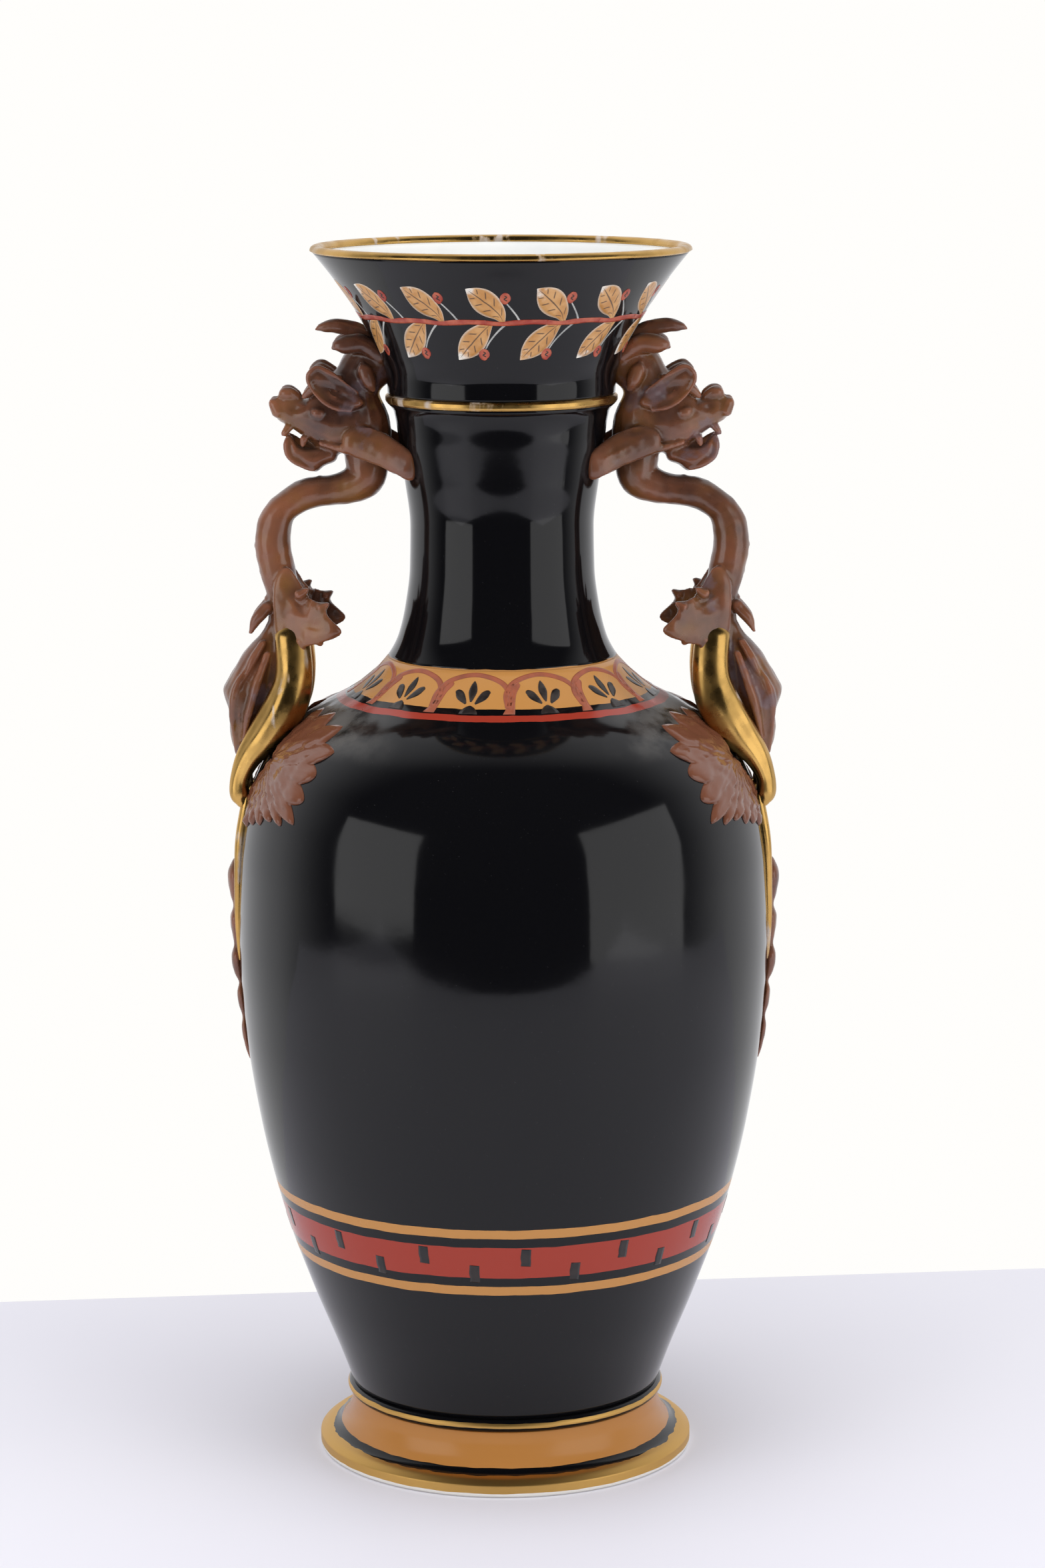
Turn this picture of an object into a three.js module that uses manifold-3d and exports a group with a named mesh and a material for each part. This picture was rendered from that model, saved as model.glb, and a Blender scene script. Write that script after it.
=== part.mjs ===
// A black-glazed porcelain vase with two dragon handles, in millimetres.
// It stands on Z = 0 with its axis on Z, the handles lie along X, and its front faces -Y.

import * as THREE from "three";
import { mergeVertices } from "three/addons/utils/BufferGeometryUtils.js";
import Module from "manifold-3d";

const wasm = await Module();
wasm.setup();

// Heights of the turned pieces, from the bottom up
const FOOT_HEIGHT = 22.3;
const FOOT_BEAD_HEIGHT = 5.3;
const BODY_HEIGHT = 292.4;
const NECK_HEIGHT = 99.4;
const NECK_BEAD_HEIGHT = 3.3;
const MOUTH_HEIGHT = 54.6;
const LIP_HEIGHT = 2.7;

// Outer radii of the turned pieces
const FOOT_RADIUS = 74.5;
const FOOT_WAIST_RADIUS = 61.3;
const FOOT_BEAD_RADIUS = 63.3;
const BODY_BASE_RADIUS = 61.4;
const BELLY_RADIUS = 104.8;
const NECK_BASE_RADIUS = 45;
const NECK_WAIST_RADIUS = 35.6;
const NECK_TOP_RADIUS = 42;
const NECK_BEAD_RADIUS = 45.15;
const MOUTH_BASE_RADIUS = 44.2;
const LIP_RADIUS = 73.9;

// Walls, the floor and the rounded edges
const BODY_WALL = 4;
const MOUTH_WALL = 3.5;
const FLOOR_THICKNESS = 5.5;
const FOOT_RING_WIDTH = 7.4;
const FOOT_EDGE_HEIGHT = 7;
const FOOT_EDGE_STEP = 3;
const EDGE_ROUND = 1.1;
const NECK_COVE_HEIGHT = 3;
const JOINT_WALL = 6;

// The skin of slip between two luted pieces
const SLIP_GAP = 0.3;

// Where the handles are luted on: heights above the foot of the mouth and above the floor of the body
const MOUTH_SEAT_RISE = 11.3;
const SHOULDER_SEAT_RISE = 252.4;

// The two halves of a handle lie this far to each side of its middle plane
const HORN_SPREAD = 7;
const CURL_SPREAD = 8.5;
const EAR_SPREAD = 11.5;
const FIN_SPREAD = 11;
const LEAF_SPREAD = 10;
const LEG_SPREAD = 13;
const BAND_SPREAD = 12;

const TURNED_SIDES = 40;
const FOOT_BOTTOM = 0;
const FOOT_BEAD_BOTTOM = FOOT_BOTTOM + FOOT_HEIGHT;
const BODY_BOTTOM = FOOT_BEAD_BOTTOM + FOOT_BEAD_HEIGHT;
const NECK_BOTTOM = BODY_BOTTOM + BODY_HEIGHT;
const NECK_BEAD_BOTTOM = NECK_BOTTOM + NECK_HEIGHT;
const MOUTH_BOTTOM = NECK_BEAD_BOTTOM + NECK_BEAD_HEIGHT;
const LIP_BOTTOM = MOUTH_BOTTOM + MOUTH_HEIGHT;
const RIM_TOP = LIP_BOTTOM + LIP_HEIGHT;

const mix = THREE.MathUtils.lerp;

// Smooth radius at a height, through [height, radius] points and with no overshoot between them
function smoothRadius(points) {
  const slopes = points.slice(1).map(([height, radius], index) => (
    (radius - points[index][1]) / (height - points[index][0])
  ));
  const tangents = points.map((_, index) => {
    const before = slopes[Math.max(index - 1, 0)];
    const after = slopes[Math.min(index, slopes.length - 1)];
    return before * after > 0 ? 2 * before * after / (before + after) : 0;
  });
  return (height) => {
    const above = points.findIndex(([level]) => level >= height);
    const next = above < 0 ? points.length - 1 : Math.max(above, 1);
    const [[lowHeight, lowRadius], [highHeight, highRadius]] = [points[next - 1], points[next]];
    const span = highHeight - lowHeight;
    const t = THREE.MathUtils.clamp((height - lowHeight) / span, 0, 1);
    const rise = t * t * (3 - 2 * t);
    const leave = t * (1 - t) * (1 - t) * tangents[next - 1];
    const arrive = t * t * (1 - t) * tangents[next];
    return lowRadius + (highRadius - lowRadius) * rise + span * (leave - arrive);
  };
}

const bodyLevel = (share) => BODY_BOTTOM + share * BODY_HEIGHT;
const neckLevel = (share) => NECK_BOTTOM + share * (NECK_HEIGHT - NECK_COVE_HEIGHT);
const mouthLevel = (share) => MOUTH_BOTTOM + share * MOUTH_HEIGHT;

// The body and the neck share one smooth outline
const bodyRadius = smoothRadius([
  [bodyLevel(0), BODY_BASE_RADIUS],
  [bodyLevel(0.03), mix(BODY_BASE_RADIUS, BELLY_RADIUS, 0.07)],
  [bodyLevel(0.105), mix(BODY_BASE_RADIUS, BELLY_RADIUS, 0.28)],
  [bodyLevel(0.3), mix(BODY_BASE_RADIUS, BELLY_RADIUS, 0.715)],
  [bodyLevel(0.5), mix(BODY_BASE_RADIUS, BELLY_RADIUS, 0.948)],
  [bodyLevel(0.66), BELLY_RADIUS],
  [bodyLevel(0.77), mix(NECK_BASE_RADIUS, BELLY_RADIUS, 0.963)],
  [bodyLevel(0.865), mix(NECK_BASE_RADIUS, BELLY_RADIUS, 0.81)],
  [bodyLevel(0.92), mix(NECK_BASE_RADIUS, BELLY_RADIUS, 0.545)],
  [bodyLevel(0.955), mix(NECK_BASE_RADIUS, BELLY_RADIUS, 0.24)],
  [bodyLevel(1), NECK_BASE_RADIUS],
  [neckLevel(0.16), mix(NECK_WAIST_RADIUS, NECK_BASE_RADIUS, 0.32)],
  [neckLevel(0.47), NECK_WAIST_RADIUS],
  [neckLevel(0.78), mix(NECK_WAIST_RADIUS, NECK_TOP_RADIUS, 0.47)],
  [neckLevel(1), NECK_TOP_RADIUS],
]);

const mouthRadius = smoothRadius([
  [mouthLevel(0), MOUTH_BASE_RADIUS],
  [mouthLevel(0.08), mix(MOUTH_BASE_RADIUS, LIP_RADIUS, 0.005)],
  [mouthLevel(0.32), mix(MOUTH_BASE_RADIUS, LIP_RADIUS, 0.15)],
  [mouthLevel(0.68), mix(MOUTH_BASE_RADIUS, LIP_RADIUS, 0.515)],
  [mouthLevel(1), LIP_RADIUS - EDGE_ROUND],
]);

// Radius of the inner face of a wall of even thickness behind an outline
function insideRadius(outline, wall) {
  const step = 0.5;
  return (height) => {
    const slope = (outline(height + step) - outline(height - step)) / (2 * step);
    return outline(height) - wall * Math.hypot(1, slope);
  };
}

const bodyInside = insideRadius(bodyRadius, BODY_WALL);
const mouthInside = insideRadius(mouthRadius, MOUTH_WALL);
const footBore = FOOT_WAIST_RADIUS - 1.5 * JOINT_WALL;
const jointBore = MOUTH_BASE_RADIUS - JOINT_WALL;

// Heights at which the curved outlines get a ring of vertices, closer where they bend more
const BODY_RINGS = [0, 0.05, 0.13, 0.24, 0.37, 0.5, 0.62, 0.72, 0.79, 0.85, 0.89, 0.925, 0.96, 1].map(bodyLevel);
const NECK_RINGS = [0, 0.09, 0.21, 0.36, 0.53, 0.72, 0.88, 1].map(neckLevel);
const MOUTH_RINGS = [0, 0.12, 0.28, 0.46, 0.64, 0.82, 1].map(mouthLevel);
const FLOOR_TOP = BODY_BOTTOM + FLOOR_THICKNESS;

const bodyOutline = BODY_RINGS.map((height) => [bodyRadius(height), height]);
const neckOutline = [
  ...NECK_RINGS.map((height) => [bodyRadius(height), height]),
  [NECK_BEAD_RADIUS - EDGE_ROUND / 2, NECK_BEAD_BOTTOM],
];
const neckBeadOutline = [
  [NECK_BEAD_RADIUS - EDGE_ROUND / 2, NECK_BEAD_BOTTOM],
  [NECK_BEAD_RADIUS, mix(NECK_BEAD_BOTTOM, MOUTH_BOTTOM, 0.35)],
  [NECK_BEAD_RADIUS, mix(NECK_BEAD_BOTTOM, MOUTH_BOTTOM, 0.7)],
  [MOUTH_BASE_RADIUS, MOUTH_BOTTOM],
];
const mouthOutline = MOUTH_RINGS.map((height) => [mouthRadius(height), height]);

// Solids of triangles, their faces turned outwards
function solidFrom(points, triangles) {
  let volume = 0;
  for (const [a, b, c] of triangles) {
    volume += points[a].dot(points[b].clone().cross(points[c]));
  }
  const outward = volume > 0 ? triangles : triangles.map(([a, b, c]) => [a, c, b]);
  const vertProperties = new Float32Array(points.flatMap((point) => point.toArray()));
  const triVerts = new Uint32Array(outward.flat());
  return new wasm.Manifold(new wasm.Mesh({ numProp: 3, vertProperties, triVerts }));
}

function geometryOf(solid) {
  const { vertProperties, triVerts } = solid.getMesh();
  const geometry = new THREE.BufferGeometry();
  geometry.setAttribute("position", new THREE.BufferAttribute(vertProperties, 3));
  geometry.setIndex(new THREE.BufferAttribute(triVerts, 1));
  geometry.computeVertexNormals();
  return geometry;
}

// A solid turned about Z from a profile of [radius, height] points
function turned(profile) {
  const outline = profile.map(([radius, height]) => new THREE.Vector2(radius, height));
  const lathe = new THREE.LatheGeometry(outline, TURNED_SIDES).rotateX(Math.PI / 2);
  lathe.deleteAttribute("normal");
  lathe.deleteAttribute("uv");
  const merged = mergeVertices(lathe);
  const { position } = merged.attributes;
  const corners = Array.from(merged.index.array);
  const points = Array.from({ length: position.count }, (_, index) => (
    new THREE.Vector3().fromBufferAttribute(position, index)
  ));
  const triangles = [];
  for (let corner = 0; corner < corners.length; corner += 3) {
    const [a, b, c] = corners.slice(corner, corner + 3);
    if (a !== b && b !== c && c !== a) {
      triangles.push([a, b, c]);
    }
  }
  return solidFrom(points, triangles);
}

const closed = (profile) => [...profile, profile[0]];

function makeFoot() {
  const edgeRadius = FOOT_RADIUS - FOOT_EDGE_STEP;
  const flareSteps = [0, 0.2, 0.4, 0.6, 0.8, 1];
  const flare = flareSteps.map((share) => {
    const angle = share * Math.PI / 2;
    return [
      edgeRadius - (edgeRadius - FOOT_WAIST_RADIUS) * Math.sin(angle),
      FOOT_HEIGHT - (FOOT_HEIGHT - FOOT_EDGE_HEIGHT) * Math.cos(angle),
    ];
  });
  return turned(closed([
    [FOOT_RADIUS - EDGE_ROUND - FOOT_RING_WIDTH, FOOT_BOTTOM],
    [FOOT_RADIUS - EDGE_ROUND, FOOT_BOTTOM],
    [FOOT_RADIUS, FOOT_BOTTOM + EDGE_ROUND],
    [FOOT_RADIUS, FOOT_EDGE_HEIGHT - 2 * EDGE_ROUND],
    [FOOT_RADIUS - EDGE_ROUND, FOOT_EDGE_HEIGHT - EDGE_ROUND],
    ...flare,
    [footBore, FOOT_HEIGHT],
    [mix(footBore, FOOT_WAIST_RADIUS, 0.4), FOOT_HEIGHT * 0.7],
  ]));
}

function makeFootBead() {
  const middle = (FOOT_BEAD_BOTTOM + BODY_BOTTOM) / 2;
  const root = FOOT_WAIST_RADIUS - EDGE_ROUND / 2;
  const bulge = [0, 0.2, 0.5, 0.8, 1].map((share) => [
    root + (FOOT_BEAD_RADIUS - root) * Math.sin(share * Math.PI),
    middle - FOOT_BEAD_HEIGHT / 2 * Math.cos(share * Math.PI),
  ]);
  return turned(closed([[footBore, FOOT_BEAD_BOTTOM], ...bulge, [footBore, BODY_BOTTOM]]));
}

function makeBody() {
  const insideRings = BODY_RINGS.filter((height, index) => height > FLOOR_TOP && index % 2 === 1).reverse();
  return turned([
    [0, BODY_BOTTOM],
    ...bodyOutline,
    ...insideRings.map((height) => [bodyInside(height), height]),
    [bodyInside(FLOOR_TOP) - BODY_WALL, FLOOR_TOP],
    [0, FLOOR_TOP],
  ]);
}

function makeNeck() {
  const inside = NECK_RINGS.slice(0, -1).reverse();
  return turned(closed([
    ...neckOutline,
    [jointBore, NECK_BEAD_BOTTOM],
    ...inside.map((height) => [bodyInside(height), height]),
  ]));
}

function makeNeckBead() {
  return turned(closed([...neckBeadOutline, [jointBore, MOUTH_BOTTOM], [jointBore, NECK_BEAD_BOTTOM]]));
}

function makeMouth() {
  const inside = MOUTH_RINGS.slice(1).reverse();
  return turned(closed([
    ...mouthOutline,
    ...inside.map((height) => [mouthInside(height), height]),
    [jointBore, MOUTH_BOTTOM],
  ]));
}

function makeLip() {
  return turned(closed([
    [LIP_RADIUS - EDGE_ROUND, LIP_BOTTOM],
    [LIP_RADIUS, mix(LIP_BOTTOM, RIM_TOP, 0.35)],
    [LIP_RADIUS - EDGE_ROUND / 3, mix(LIP_BOTTOM, RIM_TOP, 0.8)],
    [LIP_RADIUS - 1.5 * EDGE_ROUND, RIM_TOP],
    [LIP_RADIUS - 2.5 * EDGE_ROUND, RIM_TOP],
    [mouthInside(LIP_BOTTOM), LIP_BOTTOM],
  ]));
}

// The outside of the vessel, filled in and a little thicker all over, which cuts the seats of the sprigs
const seatCutter = (() => {
  const outline = [...bodyOutline, ...neckOutline.slice(1), ...neckBeadOutline.slice(1), ...mouthOutline.slice(1)];
  const grown = outline.map(([radius, height], index) => {
    const [lowRadius, lowHeight] = outline[Math.max(index - 1, 0)];
    const [highRadius, highHeight] = outline[Math.min(index + 1, outline.length - 1)];
    const length = Math.hypot(highRadius - lowRadius, highHeight - lowHeight);
    return [
      radius + SLIP_GAP * (highHeight - lowHeight) / length,
      height - SLIP_GAP * (highRadius - lowRadius) / length,
    ];
  });
  return turned([[0, grown[0][1]], ...grown, [0, grown.at(-1)[1]]]);
})();

// Closed solid through rings of points; cap lists the triangles that close a ring, in the ring's own order
function loft(rings, cap) {
  const sides = rings[0].length;
  const triangles = [];
  for (let row = 0; row + 1 < rings.length; row += 1) {
    for (let side = 0; side < sides; side += 1) {
      const here = row * sides + side;
      const beside = row * sides + (side + 1) % sides;
      triangles.push([here, beside, beside + sides], [here, beside + sides, here + sides]);
    }
  }
  const last = (rings.length - 1) * sides;
  for (const [a, b, c] of cap) {
    triangles.push([a, c, b], [last + a, last + b, last + c]);
  }
  return solidFrom(rings.flat(), triangles);
}

// Points of a handle, given outwards, upwards and sideways from its two seats
const mouthSeatHeight = MOUTH_BOTTOM + MOUTH_SEAT_RISE;
const shoulderSeatHeight = BODY_BOTTOM + SHOULDER_SEAT_RISE;
const fromSeat = (radius, height) => (out, up, side = 0) => new THREE.Vector3(radius + out, side, height + up);
const fromMouth = fromSeat(mouthRadius(mouthSeatHeight), mouthSeatHeight);
const fromShoulder = fromSeat(bodyRadius(shoulderSeatHeight), shoulderSeatHeight);

// A point on the glaze of the body, given by its height above the shoulder seat, its distance to the side and its lift
function onBody(up, side, lift) {
  const height = shoulderSeatHeight + up;
  const radius = bodyRadius(height) + lift;
  return new THREE.Vector3(Math.sqrt(radius ** 2 - side ** 2), side, height);
}

// A limb with an oval section along a smooth path of [point, half thickness, half width] stations
function limb(stations, { sides = 8, stepsEach = 1 } = {}, grow = 0) {
  const path = new THREE.CatmullRomCurve3(stations.map(([point]) => point), false, "centripetal");
  const steps = (stations.length - 1) * stepsEach;
  const rings = Array.from({ length: steps + 1 }, (_, step) => {
    const along = step / stepsEach;
    const before = Math.min(Math.floor(along), stations.length - 2);
    const [, lowThick, lowWide = lowThick] = stations[before];
    const [, highThick, highWide = highThick] = stations[before + 1];
    const thick = mix(lowThick, highThick, along - before) + grow;
    const wide = mix(lowWide, highWide, along - before) + grow;
    const centre = path.getPoint(step / steps);
    const tangent = path.getTangent(step / steps);
    const lift = new THREE.Vector3(0, 1, 0).cross(tangent).normalize();
    const across = tangent.clone().cross(lift);
    const end = step === 0 ? -grow : Number(step === steps) * grow;
    return Array.from({ length: sides }, (_unused, side) => {
      const angle = (side + 0.5) / sides * 2 * Math.PI;
      return centre.clone()
        .addScaledVector(tangent, end)
        .addScaledVector(lift, thick * Math.cos(angle))
        .addScaledVector(across, wide * Math.sin(angle));
    });
  });
  return loft(rings, Array.from({ length: sides - 2 }, (_, side) => [0, side + 1, side + 2]));
}

// The nearest point of a core line, whose entries are [point, half thickness]
function nearestOnCore(core, point) {
  let nearest = null;
  for (let index = 0; index + 1 < core.length; index += 1) {
    const [[start, startHalf], [finish, finishHalf]] = [core[index], core[index + 1]];
    const line = new THREE.Line3(new THREE.Vector3(start.x, 0, start.z), new THREE.Vector3(finish.x, 0, finish.z));
    const share = line.closestPointToPointParameter(new THREE.Vector3(point.x, 0, point.z), true);
    const foot = start.clone().lerp(finish, share);
    const distance = Math.hypot(foot.x - point.x, foot.z - point.z);
    if (!nearest || distance < nearest.distance) {
      nearest = { foot, half: mix(startHalf, finishHalf, share), distance };
    }
  }
  return nearest;
}

// A modelled form that swells from its outline, seen from the side, to a core line
function modelled(outline, core, grow = 0) {
  const feet = outline.map((point) => nearestOnCore(core, point));
  const rings = [-65, -32, 0, 32, 65].map((degrees) => {
    const angle = THREE.MathUtils.degToRad(degrees);
    return outline.map((point, index) => {
      const { foot, half, distance } = feet[index];
      const reach = Math.cos(angle) * (distance + grow) / distance;
      return new THREE.Vector3(
        foot.x + (point.x - foot.x) * reach,
        foot.y + (half + grow) * Math.sin(angle),
        foot.z + (point.z - foot.z) * reach,
      );
    });
  });
  const flat = rings[0].map((point) => new THREE.Vector2(point.x, point.z));
  const clockwise = THREE.ShapeUtils.isClockWise(flat);
  const cap = THREE.ShapeUtils.triangulateShape(flat, []).map(([a, b, c]) => (
    THREE.ShapeUtils.isClockWise([flat[a], flat[b], flat[c]]) === clockwise ? [a, b, c] : [a, c, b]
  ));
  return loft(rings, cap);
}

// The largest body of a solid, without the slivers that its neighbours cut off
function mainBody(solid) {
  return solid.decompose().reduce((largest, body) => (body.volume() > largest.volume() ? body : largest));
}

// A piece cut back from the vessel and from the pieces that it is luted to, given as functions of their growth
function seated(shape, neighbours) {
  const cut = neighbours.reduce((left, neighbour) => left.subtract(neighbour(SLIP_GAP)), shape(0).subtract(seatCutter));
  return mainBody(cut);
}

// The neck leaves the back of the head, loops outwards and stands on the shoulder
const dragonNeck = (grow) => limb([
  [fromMouth(6.7, -33), 8.6],
  [fromMouth(6.9, -43.4), 8],
  [fromMouth(13.1, -47.5), 6.9],
  [fromMouth(20, -49), 6],
  [fromMouth(29.1, -50.2), 6.1],
  [fromMouth(35.4, -53.4), 5.9],
  [fromShoulder(-6.6, 95.5), 6.4],
  [fromShoulder(-4, 86), 7],
  [fromShoulder(-5.6, 74), 7],
  [fromShoulder(-7.6, 66), 6.6],
  [fromShoulder(-7.9, 56), 6],
  [fromShoulder(-6.6, 42), 6.5],
  [fromShoulder(-3.6, 28), 7.5],
  [fromShoulder(0, 8), 8],
], { sides: 10 }, grow);

// Skull, snout and the root at the mouth of the vase, from the nose tip round over the top
const dragonHead = (grow) => modelled([
  fromMouth(42.8, -16.6),
  fromMouth(38.4, -10.6),
  fromMouth(29.6, -12.3),
  fromMouth(26, -7),
  fromMouth(19.1, -2.7),
  fromMouth(15.2, 3.5),
  fromMouth(8.7, 10),
  fromMouth(1, 12),
  fromMouth(-4, 4),
  fromMouth(-3, -6),
  fromMouth(1.3, -11.5),
  fromMouth(-2.4, -20),
  fromMouth(-3, -30),
  fromMouth(-1, -38),
  fromMouth(13.3, -34.5),
  fromMouth(20.3, -35.8),
  fromMouth(25.9, -32),
  fromMouth(29, -29.5),
  fromMouth(36, -24.6),
  fromMouth(40.9, -21.4),
], [
  [fromMouth(2, 4), 8],
  [fromMouth(9, -6), 9],
  [fromMouth(13, -20), 11.5],
  [fromMouth(24, -20), 10.5],
  [fromMouth(37, -17), 7.5],
], grow);

const dragonJaw = (grow) => modelled([
  fromMouth(36.3, -27),
  fromMouth(36.8, -31.5),
  fromMouth(35.8, -36.3),
  fromMouth(31.5, -39.5),
  fromMouth(26.6, -41.9),
  fromMouth(23, -39.5),
  fromMouth(18, -37),
  fromMouth(19, -31),
  fromMouth(27.5, -31.8),
  fromMouth(32.5, -31),
], [
  [fromMouth(21, -35), 6],
  [fromMouth(28, -36), 6.5],
  [fromMouth(34, -33.5), 5.5],
], grow);

const crestHorn = (grow) => limb([
  [fromMouth(1, 6), 3.6],
  [fromMouth(9, 12.5), 3.5],
  [fromMouth(17.5, 14.6), 2.9],
  [fromMouth(23, 14.3), 2],
  [fromMouth(25.8, 13.3), 0.7],
], { sides: 6 }, grow);

const sideHorn = (sign) => (grow) => limb([
  [fromMouth(0, 3, sign * (HORN_SPREAD - 1)), 3.2],
  [fromMouth(7, 8, sign * HORN_SPREAD), 3.8],
  [fromMouth(13, 8.2, sign * (HORN_SPREAD + 1)), 3.9],
  [fromMouth(17.2, 7.2, sign * (HORN_SPREAD + 1.5)), 2.9],
  [fromMouth(18.8, 6.6, sign * (HORN_SPREAD + 1.5)), 1],
], { sides: 6 }, grow);

const curl = (sign) => (grow) => limb([
  [fromMouth(7.4, 1, sign * CURL_SPREAD), 0.9],
  [fromMouth(6.8, -1.5, sign * (CURL_SPREAD + 0.6)), 2.7],
  [fromMouth(5, -6, sign * (CURL_SPREAD + 0.4)), 2.9],
  [fromMouth(3.4, -9.4, sign * CURL_SPREAD), 1.2],
], { sides: 6 }, grow);

const ear = (sign) => (grow) => modelled([
  fromMouth(7, -14.5),
  fromMouth(12, -16.9),
  fromMouth(17.5, -15.9),
  fromMouth(22.2, -13.3),
  fromMouth(26.7, -8.5),
  fromMouth(28.5, -3.9),
  fromMouth(25, -0.4),
  fromMouth(20.5, -2.2),
  fromMouth(14.5, -6.5),
  fromMouth(9.5, -10.5),
], [
  [fromMouth(11.5, -13.6, sign * EAR_SPREAD), 2.6],
  [fromMouth(18.5, -10, sign * (EAR_SPREAD + 0.5)), 3.2],
  [fromMouth(24.5, -4.5, sign * EAR_SPREAD), 2.8],
], grow);

const cheekFin = (sign) => (grow) => modelled([
  fromMouth(15, -32.5),
  fromMouth(6, -36.5),
  fromMouth(-3, -40.2),
  fromMouth(-11.8, -43.7),
  fromMouth(-12.8, -34.6),
  fromMouth(-5, -27.8),
  fromMouth(5, -23),
  fromMouth(14, -25),
], [
  [fromMouth(11, -29, sign * FIN_SPREAD), 2.6],
  [fromMouth(-2, -33.5, sign * (FIN_SPREAD + 3.5)), 2.6],
  [fromMouth(-9.5, -37.5, sign * (FIN_SPREAD + 7)), 2.2],
], grow);

const collarLeaf = (sign) => (grow) => modelled([
  fromShoulder(-10, 76),
  fromShoulder(-17.6, 66),
  fromShoulder(-25.1, 62.6),
  fromShoulder(-25.9, 58.8),
  fromShoulder(-31.7, 51.7),
  fromShoulder(-22.6, 47.3),
  fromShoulder(-16.3, 45.3),
  fromShoulder(-9.2, 44.1),
  fromShoulder(-5.3, 47.6),
  fromShoulder(-4.2, 58),
  fromShoulder(-4.6, 70),
], [
  [fromShoulder(-7.4, 68, sign * (LEAF_SPREAD - 3)), 2],
  [fromShoulder(-10.5, 57, sign * LEAF_SPREAD), 2.6],
  [fromShoulder(-18, 54.5, sign * (LEAF_SPREAD + 5.5)), 2.2],
  [fromShoulder(-27, 53, sign * (LEAF_SPREAD + 10)), 1.6],
], grow);

const leg = (sign) => (grow) => limb([
  [fromShoulder(-11.6, 50, sign * (LEG_SPREAD - 3)), 6.8, 5],
  [fromShoulder(-12.1, 34, sign * (LEG_SPREAD - 0.5)), 7.3, 6.5],
  [fromShoulder(-8.8, 22, sign * (LEG_SPREAD + 0.5)), 8.4, 7.2],
  [fromShoulder(-2.1, 11.5, sign * LEG_SPREAD), 7.3, 6.6],
  [fromShoulder(5.2, 2, sign * (LEG_SPREAD - 0.5)), 5.1, 5],
  [fromShoulder(9, -6.5, sign * (LEG_SPREAD - 1)), 3.8, 3.8],
  [fromShoulder(9.4, -13, sign * (LEG_SPREAD - 1)), 3.9, 3.7],
  [fromShoulder(8.6, -16.5, sign * (LEG_SPREAD - 1)), 2.4, 2.6],
], { sides: 8 }, grow);

const maskLeaf = (grow) => modelled([
  fromShoulder(-3.6, 55),
  fromShoulder(1.4, 48.4),
  fromShoulder(7.8, 41.6),
  fromShoulder(14.3, 31),
  fromShoulder(16.2, 26.2),
  fromShoulder(14.6, 20.5),
  fromShoulder(13.4, 16.5),
  fromShoulder(13.9, 11.5),
  fromShoulder(13.2, 5.8),
  fromShoulder(11.4, 1),
  fromShoulder(10.2, -9),
  fromShoulder(6, -9),
  fromShoulder(2, 8),
  fromShoulder(-3, 26),
  fromShoulder(-7, 42),
], [
  [fromShoulder(-3, 48), 5],
  [fromShoulder(5.5, 32), 10.5],
  [fromShoulder(8.5, 20), 11],
  [fromShoulder(8.7, 8), 8],
  [fromShoulder(8.6, -3), 4],
], grow);

// A flat leaf on the body: lobes that fan out from its root, each tip given by its angle round the body and its height
const BODY_LEAF_THICKNESS = 1.6;
const bodyLeaf = (sign) => () => {
  const root = [14, 3];
  const tips = [[9, 21], [22, 21.5], [35, 18.7], [41.2, 10.8], [39.6, 2], [38.8, -7], [37.6, -16.2], [32.5, -18]];
  tips.push([27.5, -17.8], [22.5, -20.5], [17.5, -22], [12, -24.5], [8, -14]);
  const outline = tips.flatMap(([angle, up], index) => {
    const [nextAngle, nextUp] = tips[Math.min(index + 1, tips.length - 1)];
    const notch = [mix((angle + nextAngle) / 2, root[0], 0.13), mix((up + nextUp) / 2, root[1], 0.13)];
    return index + 1 < tips.length ? [[angle, up], notch] : [[angle, up]];
  });
  const layer = (lift, share) => outline.map(([angle, up]) => {
    const turn = sign * THREE.MathUtils.degToRad(mix(root[0], angle, share));
    const height = shoulderSeatHeight + mix(root[1], up, share);
    const radius = bodyRadius(height) + lift;
    return new THREE.Vector3(radius * Math.cos(turn), radius * Math.sin(turn), height);
  });
  const flat = outline.map(([angle, up]) => new THREE.Vector2(angle, up));
  const clockwise = THREE.ShapeUtils.isClockWise(flat);
  const cap = THREE.ShapeUtils.triangulateShape(flat, []).map(([a, b, c]) => (
    THREE.ShapeUtils.isClockWise([flat[a], flat[b], flat[c]]) === clockwise ? [a, b, c] : [a, c, b]
  ));
  const domed = [0.93, 0.7, 0.45, 0.2].map((share) => layer(BODY_LEAF_THICKNESS, share));
  return loft([layer(-BODY_LEAF_THICKNESS, 1), layer(0.7 * BODY_LEAF_THICKNESS, 1), ...domed], cap);
};

const band = (sign) => (grow) => limb([
  [onBody(-14, sign * BAND_SPREAD, 0.6), 2.6, 2.6],
  [onBody(-29, sign * (BAND_SPREAD + 0.3), 0.5), 2.2, 2.5],
  [onBody(-40, sign * (BAND_SPREAD - 0.4), 0.4), 1.9, 2.3],
  [onBody(-52, sign * (BAND_SPREAD - 2.6), 0.3), 1.7, 1.9],
  [onBody(-66, sign * (BAND_SPREAD - 6), 0.2), 1.4, 1.4],
  [onBody(-81, sign * (BAND_SPREAD - 8.8), 0), 0.8, 0.7],
], { sides: 6 }, grow);

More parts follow.
